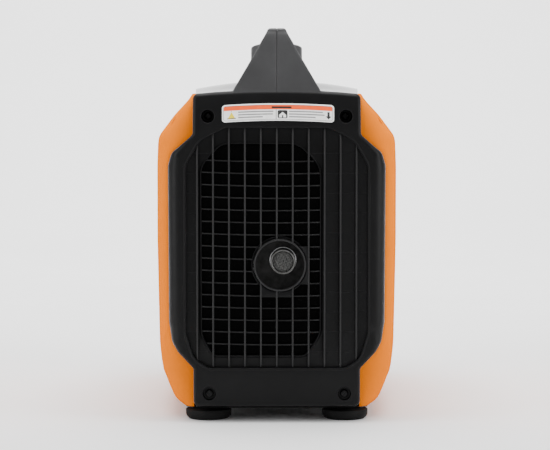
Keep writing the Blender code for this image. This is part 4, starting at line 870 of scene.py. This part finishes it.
def slats():
    """Round-nosed slats across the window that sag a little in the middle and stop at the exhaust's seat."""
    bm = bmesh.new()
    seat_x, seat_z = EXHAUST
    half = 0.00075
    section = [(-0.2378, -half), (-0.2412, -half), (-0.2417, -half * 0.6), (-0.2419, 0),
               (-0.2417, half * 0.6), (-0.2412, half), (-0.2378, half)]
    for i in range(SLATS):
        z = FIRST_RIB_Z + i * RIB_PITCH
        left, right = crossings_at(WINDOW, z)
        spans = [(left - 0.0008, right + 0.0008)]
        if abs(z - seat_z) < SEAT_RADIUS:
            gap = math.sqrt(SEAT_RADIUS ** 2 - (z - seat_z) ** 2)
            spans = [(left - 0.0008, seat_x - gap), (seat_x + gap, right + 0.0008)]
        for x0, x1 in spans:
            prism(bm, [[(x, y, z + w - 0.0020 * (1 - (x / 0.085) ** 2)) for y, w in section]
                       for x in spaced(x0, x1, 17)])
    piece("rear_grille_slats", bm, "bars", smooth=50)


def ridges(front):
    """Faint ridges across the plate, on both sides of the window."""
    bm = bmesh.new()
    section = ((front + 0.0004, -0.0007), (front - 0.00025, -0.0004), (front - 0.00025, 0.0004),
               (front + 0.0004, 0.0007))
    for i in range(11):
        z = 0.0745 + 0.0223 * i
        left, right = crossings_at(FIELD, z)
        sides = [(left, right)]
        if 0.0705 < z < 0.3105:
            inner = crossings_at(offset(WINDOW, 0.0036), z)
            sides = [(left - 0.001, inner[0]), (inner[1], right + 0.001)]
        for x0, x1 in sides:
            prism(bm, [[(x, y, z + w) for y, w in section] for x in (x0, x1)])
    piece("rear_grille_ridges", bm, "black", smooth=50)


# ---- exhaust
def exhaust():
    x, z = EXHAUST
    bm = bmesh.new()
    cup = [(0.0300, 0.2222), (0.0300, 0.2366), (0.0296, 0.2370), (0.0289, 0.2370), (0.0285, 0.2366),
           (0.0285, 0.2240), (0.0280, 0.2236)]
    px, pz = PIPE
    loops = [(x, z, radius, y) for radius, y in cup] + [(px, pz, 0.0152, y) for y in (0.2234, 0.2222)]
    skin(bm, [[(u, -y, w) for u, w in circle(cx, cz, radius, 96)] for cx, cz, radius, y in loops], ring=True)
    piece("exhaust_cup_shield", bm, "soot", smooth=50, replaces=("exhaust_cup",))

    bm = bmesh.new()
    side = ((0.0, 0.2184), (0.0, 0.2443), (0.0003, 0.2448), (0.0008, 0.2450))
    ring_lathe(bm, twin_sided(0.0119, 0.0142, side), (px, 0, pz), (0, -1, 0))
    piece("tailpipe_tube", bm, "pipe", smooth=50, replaces=("tailpipe",))

    bm = bmesh.new()
    profile = [(0.0, 0.2407), (0.0100, 0.2410), (0.0112, 0.2414), (0.0116, 0.2408), (0.0116, 0.2200),
               (0.0108, 0.2200), (0.0108, 0.2398), (0.0, 0.2398)]
    lathe(bm, profile, (px, 0, pz), (0, -1, 0), 64)
    piece("spark_arrestor_cup", bm, "soot", smooth=50, replaces=("spark_arrestor",))
    arrestor_mesh()


def arrestor_mesh():
    """Two crossed layers of uneven wires, domed over the arrestor's end."""
    bm = bmesh.new()
    px, pz = PIPE
    reach = 0.0114
    spread = random.Random(11)
    for along in (0, 1):
        for k in range(-7, 8):
            level = k * 0.00155
            half = math.sqrt(max(0.0, reach ** 2 - level ** 2))
            if half < 0.002:
                continue
            phase = spread.uniform(0, 6.28)
            route = []
            for i, u in enumerate(spaced(-half, half, 15)):
                wobble = 0.00045 * math.sin(phase + u * 900) + spread.uniform(-0.00012, 0.00012)
                dome = -0.2432 + 0.0012 * ((u * u + level * level) / reach ** 2)
                weave = 0.00024 * (1 if (i + k + along) % 2 else -1)
                dent = 0.0005 * math.sin(u * 420 + level * 300 + 1)
                place = (u, level + wobble) if along == 0 else (level + wobble, u)
                route.append(Vector((px + place[0], dome + weave + dent, pz + place[1])))
            wire(bm, route, 0.00026)
    piece("spark_arrestor_mesh", bm, "wire", smooth=60)


def wire(bm, route, radius, sides=6):
    """A round wire along a list of points."""
    loops = []
    for i, point in enumerate(route):
        along = (route[min(i + 1, len(route) - 1)] - route[max(i - 1, 0)]).normalized()
        across = along.orthogonal() if i == 0 else across - along * across.dot(along)
        across.normalize()
        up = along.cross(across)
        loops.append([point + across * u + up * v for u, v in circle(0, 0, radius, sides)])
    prism(bm, loops)


# ---- blank information plate
LABEL_X = 0.0014
LABEL_HALF = 0.0626
LABEL_LOW = 0.3320
LABEL_HEIGHT = 0.0192
LABEL_ARCH = 0.0022


def on_label(x, v, lift):
    """A place on the plate: x across, v up from its lower edge, lift in front of the cover."""
    z = LABEL_LOW + v + LABEL_ARCH * (1 - (x / LABEL_HALF) ** 2)
    return (LABEL_X + x, -HALF_LENGTH + lean(z) - lift, z)


def printed(bm, ink, x0, x1, v0, v1, lift=0.00050, radius=0.0, top_only=False):
    """A field of one ink that follows the plate's curve."""
    middle, half = (x0 + x1) / 2, (x1 - x0) / 2
    rows = []
    for v in spaced(v0, v1, 13):
        near = v1 - v if top_only else min(v - v0, v1 - v)
        cut = radius - math.sqrt(max(0.0, radius ** 2 - (radius - near) ** 2)) if near < radius else 0.0
        rows.append([bm.verts.new(on_label(middle + (half - cut) * s, v, lift)) for s in spaced(-1, 1, 41)])
    for low, high in zip(rows, rows[1:]):
        for i in range(len(low) - 1):
            bm.faces.new((low[i], low[i + 1], high[i + 1], high[i])).material_index = ink


def printed_shape(bm, ink, corners, lift):
    bm.faces.new([bm.verts.new(on_label(x, v, lift)) for x, v in corners]).material_index = ink


def information_plate():
    """The plate, with a plain band, bars and simple shapes on it, and no lettering."""
    bm = bmesh.new()
    printed(bm, 0, -LABEL_HALF, LABEL_HALF, 0.0, LABEL_HEIGHT, 0.00040, 0.0028)
    plate = piece("information_plate", bm, "ink_white", replaces=("information_label",))
    thicken(plate, 0.0003)
    inks = ["ink_orange", "ink_yellow", "ink_charcoal", "ink_grey", "ink_white"]
    orange, yellow, charcoal, grey, white = range(5)
    bm = bmesh.new()
    printed(bm, charcoal, -0.0612, 0.0612, 0.0014, 0.0178, 0.00044, 0.0020)
    printed(bm, white, -0.0608, 0.0608, 0.0018, 0.0174, 0.00047, 0.0017)
    printed(bm, orange, -0.0607, 0.0607, 0.0126, 0.0174, 0.00051, 0.0016, True)
    printed(bm, charcoal, -0.0024, -0.0018, 0.0018, 0.0126, 0.00050)
    printed(bm, charcoal, -0.0070, 0.0150, 0.0138, 0.0160, 0.00055)
    for ink, radius, lift in ((charcoal, 0.00600, 0.00050), (yellow, 0.00444, 0.00054)):
        corners = [(-0.0520 + radius * math.cos(a), 0.0064 + radius * math.sin(a))
                   for a in map(math.radians, (90, 210, 330))]
        printed_shape(bm, ink, corners, lift)
    lengths = ((-0.0445, -0.0052, 0.0098), (-0.0445, -0.0058, 0.0068), (-0.0445, -0.0170, 0.0038),
               (0.0122, 0.0500, 0.0098), (0.0122, 0.0520, 0.0068), (0.0122, 0.0420, 0.0038))
    for x0, x1, v in lengths:
        printed(bm, grey, x0, x1, v, v + 0.0014, 0.00051)
    printed(bm, charcoal, -0.0004, 0.0106, 0.0028, 0.0118, 0.00051, 0.0012)
    gable = ((0, 0), (1, 0), (1, 0.45), (0.5, 1.0), (0, 0.45))
    printed_shape(bm, white, [(0.0012 + 0.0078 * u, 0.0036 + 0.0062 * v) for u, v in gable], 0.00056)
    printed(bm, charcoal, 0.0044, 0.0058, 0.0036, 0.0062, 0.00060)
    printed(bm, charcoal, 0.0551, 0.0577, 0.0060, 0.0112, 0.00051)
    printed_shape(bm, charcoal, [(0.0564, 0.0030), (0.0596, 0.0064), (0.0532, 0.0064)], 0.00052)
    piece("information_plate_print", bm, inks, smooth=0)


# ---- side panels and service door
def side_stations():
    shoulder = [COVER_BACK - GAP - SHOULDER * (1 - math.cos(math.radians(a))) for a in range(90, -1, -6)]
    flat = spaced(0.0, shoulder[0], 44)[:-1]
    half = flat + shoulder
    return [-y for y in reversed(half[1:])] + half


def side_rows():
    return spaced(0.0076, TOP_EDGE, 90)


def walled(name, grid, outward, material):
    """A sheet through the grid's points, made WALL thick on the side away from outward."""
    bm = bmesh.new()
    skin(bm, grid, cyclic=False)
    bmesh.ops.recalc_face_normals(bm, faces=bm.faces)
    if sum(face.normal.dot(Vector(outward)) for face in bm.faces) < 0:
        bmesh.ops.reverse_faces(bm, faces=bm.faces)
    obj = new_object(name, bm)
    obj.data.materials.append(MATERIAL[material])
    thicken(obj, WALL)
    bake(obj)
    return obj


def side_surface(name, side, rows, stations):
    grid = []
    for z in rows:
        points = [side_point(y, z) for y in stations]
        grid.append([(side * p.x, p.y, p.z) for p in points])
    return walled(name, grid, (side, 0, 0), "orange")


def close_piece(obj, body, replaces, angle=40, width=0.0006, segments=3):
    obj.data.shade_smooth()
    obj.data.set_sharp_from_angle(angle=math.radians(angle))
    soften_edges(obj, width, segments, angle)
    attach(obj, body)
    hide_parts(*replaces)


def panel_pocket(side, y, z, normal, name):
    """Cup and screw of a recess in the panel's slanted face. Returns the shape that opens the panel there."""
    centre = side_point(y, z)
    centre.x *= side
    outward = Vector((side * normal[0], 0.0, normal[1])).normalized()
    bm = bmesh.new()
    profile = [(0.0, -0.0070), (0.0053, -0.0070), (0.0058, -0.0065), (0.0058, -0.0024), (0.0074, -0.0024),
               (0.0074, -0.0088), (0.0, -0.0088)]
    lathe(bm, profile, centre, outward, 40)
    piece(f"{name}_cup", bm, "orange")
    screw(f"{name}_screw", centre - outward * 0.0069, outward, 0.0040)
    bm = bmesh.new()
    lathe(bm, [(0.0, -0.0060), (0.0058, -0.0060), (0.0058, 0.0100), (0.0, 0.0100)], centre, outward, 40)
    return cutter(bm, "pocket_cut")


def side_panel(name, side):
    panel = side_surface(name + "_shell", side, side_rows(), side_stations())
    cuts = []
    for end, where in ((-1, "rear"), (1, "front")):
        cuts.append(panel_pocket(side, end * 0.184, 0.333, (0.81, 0.585), f"{name}_{where}_upper"))
        cuts.append(panel_pocket(side, end * 0.184, 0.0385, (0.88, -0.48), f"{name}_{where}_lower"))
    for i in range(4):
        z = 0.0860 + 0.0150 * i
        slot = rectangle(0.085, z, 0.165, z + 0.0060, 0.0030, 6)
        cuts.append(outline_cutter(slot, min(side * 0.10, side * 0.16), max(side * 0.10, side * 0.16), "X"))
    if side < 0:
        y0, z0, y1, z1 = GRIP_RECESS
        cuts.append(outline_cutter(rectangle(y0, z0, y1, z1, 0.010, 10), -0.160, -0.125, "X"))
    else:
        y0, z0, y1, z1 = SERVICE_DOOR
        cuts.append(outline_cutter(rectangle(y0, z0, y1, z1, 0.010, 10), 0.110, 0.170, "X"))
    carve(panel, cuts)
    close_piece(panel, "body", (name,))


def louvre_backs():
    """Slanted blades behind the slots of both side panels."""
    for side, name in ((-1, "left"), (1, "right")):
        bm = bmesh.new()
        for i in range(5):
            z = 0.0795 + 0.0150 * i
            x0, x1 = side * 0.1240, side * 0.1330
            section = [(x1, z + 0.0002), (x1, z + 0.0014), (x0, z + 0.0074), (x0, z + 0.0062)]
            prism(bm, [[(x, y, w) for x, w in section] for y in (0.080, 0.170)])
        piece(f"{name}_side_panel_blades", bm, "black", smooth=30)


def grip_recess():
    y0, z0, y1, z1 = GRIP_RECESS
    opening = refine(rectangle(y0, z0, y1, z1, 0.010, 10), 0.004)
    middle = (ROPE_Y, ROPE_Z)
    hole = [ray_hit(circle(*middle, 0.0040, 48), middle, p) for p in opening]
    rim = ((0.0018, 0.1380), (0.0001, 0.1380), (0.0, 0.1165), (-0.0006, 0.1150), (-0.0022, 0.1141),
           (-0.0060, 0.1140))
    steps = [(offset(opening, distance), x) for distance, x in rim]
    steps += [(hole, 0.1140), (hole, 0.1115), (offset(opening, 0.0018), 0.1115)]
    bm = bmesh.new()
    skin(bm, [[(-x, y, z) for y, z in outline] for outline, x in steps], ring=True)
    piece("left_side_panel_recess", bm, "orange", smooth=50)


def service_door():
    y0, z0, y1, z1 = SERVICE_DOOR
    rows, stations = spaced(z0 - 0.004, z1 + 0.004, 36), spaced(y0 - 0.004, y1 + 0.004, 32)
    door = side_surface("service_door_shell", 1, rows, stations)
    shape = offset(rectangle(y0, z0, y1, z1, 0.010, 10), -0.0011)
    carve(door, [outline_cutter(shape, 0.110, 0.170, "X")], "INTERSECT")
    carve(door, [outline_cutter(circle(-0.024, 0.176, 0.0094, 56), 0.110, 0.170, "X")])
    close_piece(door, "service_door", ("service_door",))
    bm = bmesh.new()
    surface = side_point(-0.024, 0.176).x
    profile = [(0.0, -0.0007), (0.0080, -0.0007), (0.0087, -0.0010), (0.0090, -0.0017), (0.0090, -0.0060),
               (0.0, -0.0060)]
    lathe(bm, profile, (surface, -0.024, 0.176), (1, 0, 0), 56)
    latch = piece("service_door_latch", bm, "black", "service_door")
    slot = rectangle(-0.0305, 0.1750, -0.0175, 0.1770, 0.0009, 4)
    carve(latch, [outline_cutter(slot, surface - 0.0030, 0.1500, "X")])
    soften_edges(latch, 0.00025, 2, 50)


# ---- top cover and fuel cap
def top_cover():
    half = spaced(0.0, 0.2097, 44)
    grid = []
    for y in [-v for v in reversed(half[1:])] + half:
        reach = top_half_width(y) - WALL - SEAM
        foot = crown(reach, y) - 0.0040 - 0.005 * ramp(y)
        surface = [(reach * t, y, crown(reach * t, y)) for t in spaced(-1, 1, 61)]
        grid.append([(-reach, y, foot), *surface, (reach, y, foot)])
    cover = walled("top_cover_shell", grid, (0, 0, 1), "top")
    access = rectangle(-0.024, -0.150, 0.024, -0.110, 0.006, 8)
    filler = round_cutter(0, FUEL_Y, 0.0360, 0.34, 0.42, "Z", 96)
    carve(cover, [filler, outline_cutter(access, 0.34, 0.42, "Z")])
    close_piece(cover, "body", ("top_cover",), width=0.0008)
    bm = bmesh.new()
    steps = ((0.003, 0.3738), (0.003, 0.3762), (-0.002, 0.3762), (-0.002, 0.3738))
    skin(bm, [[(x, y, z) for x, y in offset(access, distance)] for distance, z in steps], ring=True)
    piece("top_cover_ledge", bm, "black", smooth=40)
    bm = bmesh.new()
    profile = [(0.0358, 0.3700), (0.0358, 0.3772), (0.0362, 0.3782), (0.0370, 0.3786), (0.0378, 0.3782),
               (0.0384, 0.3768), (0.0386, 0.3740), (0.0380, 0.3700)]
    ring_lathe(bm, profile, (0, FUEL_Y, 0), (0, 0, 1))
    piece("top_cover_filler_rim", bm, "black", smooth=50)


def fuel_cap():
    top, foot = CAP_TOP, CAP_FOOT

    def flute(angle, radius, height):
        if radius < 0.0285:
            return radius
        dip = max(0.0, math.cos(8 * (angle - math.radians(7.5)))) ** 3
        return radius - 0.0019 * dip

    def knurl(angle, radius, height):
        return radius - (0.0004 * (0.5 + 0.5 * math.cos(18 * angle)) if 0.0092 < radius else 0.0)

    profile = [(0.0, top - 0.0040), (0.0113, top - 0.0040), (0.0119, top - 0.0034), (0.0123, top - 0.0006),
               (0.0129, top), (0.0280, top), (0.0294, top - 0.0004), (0.0304, top - 0.0012),
               (0.0309, top - 0.0024), (0.0311, top - 0.0060), (0.0314, foot + 0.0006), (0.0310, foot),
               (0.0276, foot), (0.0271, foot + 0.0080), (0.0, foot + 0.0085)]
    bm = bmesh.new()
    lathe(bm, profile, (0, FUEL_Y, 0), (0, 0, 1), 160, flute)
    piece("fuel_cap_shell", bm, "black", "fuel_cap", smooth=40, replaces=("fuel_cap",))
    floor = top - 0.0040 + GAP
    profile = [(0.0, floor + 0.0065), (0.0080, floor + 0.0065), (0.0089, floor + 0.0062),
               (0.0094, floor + 0.0054), (0.0095, floor + 0.0004), (0.0091, floor), (0.0, floor)]
    bm = bmesh.new()
    lathe(bm, profile, (0, FUEL_Y, 0), (0, 0, 1), 72, knurl)
    knob = piece("fuel_cap_vent_knob_shell", bm, "black", "fuel_cap_vent_knob",
                 replaces=("fuel_cap_vent_knob",))
    mark = rectangle(-0.0010, FUEL_Y + 0.002, 0.0010, FUEL_Y + 0.012, 0.0004, 3)
    carve(knob, [outline_cutter(mark, floor + 0.0055, floor + 0.0080, "Z")])
    soften_edges(knob, 0.0002, 2, 40)


# ---- handle
def curved(rows, per_span):
    """Rows of numbers along a Catmull-Rom curve through the given rows."""
    ends = [rows[0], *rows, rows[-1]]
    made = []
    for a, b, c, d in zip(ends, ends[1:], ends[2:], ends[3:]):
        for step in range(per_span):
            t = step / per_span
            made.append([0.5 * (2 * q + (r - p) * t + (2 * p - 5 * q + 4 * r - s) * t * t
                                + (3 * q - p - 3 * r + s) * t ** 3) for p, q, r, s in zip(a, b, c, d)])
    return made + [list(rows[-1])]


def handle_section(half, depth, radius):
    """Right half of the handle's section: across and along, from the seam's outer edge to its inner edge."""
    seam, groove = 0.00003, 0.0009
    flat = (seam + groove + half - radius) / 2
    edge = [(seam, groove * 1.3), (seam + groove * 0.25, groove * 0.45), (seam + groove, 0.0), (flat, 0.0)]
    points = list(edge)
    for along, start in ((radius, 90), (depth - radius, 0)):
        for step in range(9):
            angle = math.radians(start - 90 / 8 * step)
            points.append((half - radius + radius * math.cos(angle), along - radius * math.sin(angle)))
    return points + [(across, depth - along) for across, along in reversed(edge)]


def handle():
    rows = curved(HANDLE_SECTIONS[:2], 4)[:-1] + curved(HANDLE_SECTIONS[1:5], 8)[:-1]
    rows += curved(HANDLE_SECTIONS[4:12], 8)[:-1] + curved(HANDLE_SECTIONS[11:], 8)
    for name, side in (("left", -1), ("right", 1)):
        loops = []
        for outer_y, outer_z, inner_y, inner_z, half, radius in rows:
            outer = Vector((0, outer_y, min(outer_z, GRIP_TOP)))
            inner = Vector((0, inner_y, inner_z))
            depth = (inner - outer).length
            down = (inner - outer) / depth
            radius = max(0.0014, min(radius, half * 0.9, depth * 0.45))
            loops.append([outer + down * along + Vector((side * across, 0, 0))
                          for across, along in handle_section(half, depth, radius)])
        bm = bmesh.new()
        prism(bm, loops)
        piece(f"handle_{name}_shell", bm, "handle", smooth=50,
              replaces=(f"handle_{name}_half",))


# ---- feet and rope
def feet():
    across, along, wide = FOOT
    top = 0.0056 - GAP + DATUM
    profile = [(0.0, top), (wide - 0.0012, top), (wide - 0.0003, top - 0.0005), (wide, top - 0.0014),
               (wide - 0.0002, 0.0060), (wide - 0.0007, 0.0040), (wide - 0.0018, 0.0021),
               (wide - 0.0038, 0.0007), (wide - 0.0066, 0.0), (0.0110, 0.0), (0.0105, 0.0015), (0.0, 0.0016)]
    for number, (side, end) in enumerate(((-1, -1), (1, -1), (-1, 1), (1, 1)), 1):
        bm = bmesh.new()
        lathe(bm, profile, (side * across, end * along, -DATUM), (0, 0, 1), 72)
        piece(f"foot_{number}_rubber", bm, "rubber", replaces=(f"foot_{number}",))


def rope():
    start, end = Vector((-0.0030, ROPE_Y, ROPE_Z)), Vector((-0.1215, ROPE_Y, ROPE_Z))
    bm = bmesh.new()
    wire(bm, [start.lerp(end, i / 60) for i in range(61)], 0.0021, 14)
    cord = piece("starter_rope_braid", bm, "rope", body=None, replaces=("starter_rope",))
    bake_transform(cord)


# ---- control panel marks
def panel_marks():
    """Plain ticks and frames on the control panel, with no lettering."""
    face = 0.2380 + 0.00004
    bm = bmesh.new()

    def strip(points, half):
        for (x0, z0), (x1, z1) in zip(points, points[1:]):
            along = Vector((x1 - x0, z1 - z0)).normalized() * half
            side = Vector((-along.y, along.x))
            start, end = Vector((x0, z0)) - along, Vector((x1, z1)) + along
            quad = (start - side, end - side, end + side, start + side)
            bm.faces.new([bm.verts.new((x, face, z)) for x, z in quad])

    def round_dial(radius, degrees):
        angle = math.radians(degrees)
        return (0.044 + radius * math.cos(angle), 0.290 + radius * math.sin(angle))

    for degrees in (90, 130, 170, 210):
        strip([round_dial(0.0232, degrees), round_dial(0.0270, degrees)], 0.0005)
    strip([round_dial(0.0232, degrees) for degrees in range(90, 215, 5)], 0.0002)
    for left, low, right, high in ((-0.074, 0.204, 0.010, 0.242), (-0.074, 0.272, -0.016, 0.308),
                                   (0.024, 0.216, 0.066, 0.238), (-0.013, 0.274, 0.005, 0.306)):
        frame_line = rectangle(left, low, right, high, 0.003, 4)
        strip(frame_line + frame_line[:1], 0.00022)
    piece("control_panel_marks", bm, "ink_white", smooth=0)
    bm = bmesh.new()
    for x, ink in ((-0.064, 0), (-0.050, 1), (-0.036, 2)):
        lathe_rows = [(0.0, 0.0013), (0.0016, 0.0011), (0.0023, 0.0005), (0.0024, 0.0), (0.0, 0.0)]
        before = set(bm.faces)
        lathe(bm, lathe_rows, (x, 0.2389, 0.290), (0, 1, 0), 24)
        for face_made in set(bm.faces) - before:
            face_made.material_index = ink
    piece("indicator_lamps", bm, ["ink_green", "ink_yellow", "ink_orange"])


# ---- nodes that keep their own shape
DRESS = {
    "rubber": ("rubber", 0.0008), "steel": ("steel", 0.0004), "dark_steel": ("dark", 0.0003),
    "aluminium": ("cast", 0.0007), "black_plastic": ("black", 0.0005), "socket_plastic": ("socket", 0.0004),
    "tank_plastic": ("tank", 0.0020), "red_plastic": ("red", 0.0003), "lens": ("lens", 0.0004),
    "rope": ("rope", 0.0002), "orange_plastic": ("orange", 0.0005), "handle_plastic": ("handle", 0.0005),
    "label": ("ink_white", 0.0001),
}


def dress_nodes():
    for name, node in NODES.items():
        if node.hide_render or not node.data.materials:
            continue
        kind = node.data.materials[0].name.split(".")[0]
        material, width = DRESS.get(kind, ("black", 0.0004))
        for i in range(len(node.data.materials)):
            node.data.materials[i] = MATERIAL[material]
        weld = node.modifiers.new("weld", "WELD")
        weld.merge_threshold = 0.00001
        flat = node.modifiers.new("flat", "DECIMATE")
        flat.decimate_type = "DISSOLVE"
        flat.angle_limit = math.radians(1.0)
        edge = soften_edges(node, width, 2, 32).modifiers[-1]
        edge.use_clamp_overlap = True
        for face in node.data.polygons:
            face.use_smooth = True
        normals = node.modifiers.new("normals", "WEIGHTED_NORMAL")
        normals.keep_sharp = False
        normals.weight = 80


# ---- studio
def area(name, place, target, size, power):
    light = bpy.data.lights.new(name, "AREA")
    light.shape = "RECTANGLE"
    light.size, light.size_y = size
    light.energy = power
    obj = bpy.data.objects.new(name, light)
    obj.location = place
    obj.rotation_euler = (Vector(target) - Vector(place)).to_track_quat("-Z", "Y").to_euler()
    bpy.context.scene.collection.objects.link(obj)


def stand_on_floor():
    """Lift every piece from the datum to the floor."""
    solids = set(NODES.values())
    for obj in bpy.data.objects:
        if obj.type == "MESH" and obj not in solids:
            obj.data.transform(Matrix.Translation((0, 0, DATUM)))


def studio():
    world = bpy.data.worlds.new("white_surround")
    world.use_nodes = True
    world.node_tree.nodes["Background"].inputs["Color"].default_value = (1.0, 1.0, 1.0, 1.0)
    world.node_tree.nodes["Background"].inputs["Strength"].default_value = 0.85
    bpy.context.scene.world = world

    bm = bmesh.new()
    profile = [(-6.0, 0.0), (2.2, 0.0)]
    profile += [(2.2 + 1.4 * math.sin(a), 1.4 - 1.4 * math.cos(a)) for a in spaced(0.05, math.pi / 2, 16)]
    profile += [(3.6, 4.5)]
    rows = [[bm.verts.new((x, y, z)) for x in (-6.0, 6.0)] for y, z in profile]
    for low, high in zip(rows, rows[1:]):
        bm.faces.new((low[0], low[1], high[1], high[0])).smooth = True
    backdrop = new_object("backdrop", bm)
    pale = Shader("pale_backdrop", (0.90, 0.90, 0.90), 0.75)
    pale.colour((0.885, 0.885, 0.885), (0.915, 0.915, 0.915), 3.0)
    pale.bump(pale.noise(400.0), 0.00005, 0.2)
    backdrop.data.materials.append(pale.material)

    area("left_softbox", (-1.9, -1.0, 0.9), (0, 0, 0.2), (1.2, 1.8), 28)
    area("right_softbox", (1.9, -1.0, 0.9), (0, 0, 0.2), (1.2, 1.8), 32)
    area("top_softbox", (0, -0.1, 2.2), (0, 0, 0.2), (1.6, 1.6), 60)
    area("back_wash", (0, 1.6, 2.6), (0, 3.4, 0.8), (3.0, 1.2), 160)

    camera = bpy.data.cameras.new("camera")
    camera.lens = 152.3
    camera.sensor_width = 36.0
    eye = bpy.data.objects.new("camera", camera)
    place = Vector((-0.002, -2.85, 0.372 + DATUM))
    eye.location = place
    eye.rotation_euler = (Vector((-0.002, -0.25, 0.2175 + DATUM)) - place).to_track_quat("-Z", "Y").to_euler()
    bpy.context.scene.collection.objects.link(eye)
    bpy.context.scene.camera = eye


rear_cover()
front_cover()
guard()
grille()
exhaust()
information_plate()
side_panel("left_side_panel", -1)
side_panel("right_side_panel", 1)
louvre_backs()
grip_recess()
service_door()
top_cover()
fuel_cap()
handle()
feet()
rope()
panel_marks()
dress_nodes()
stand_on_floor()
studio()
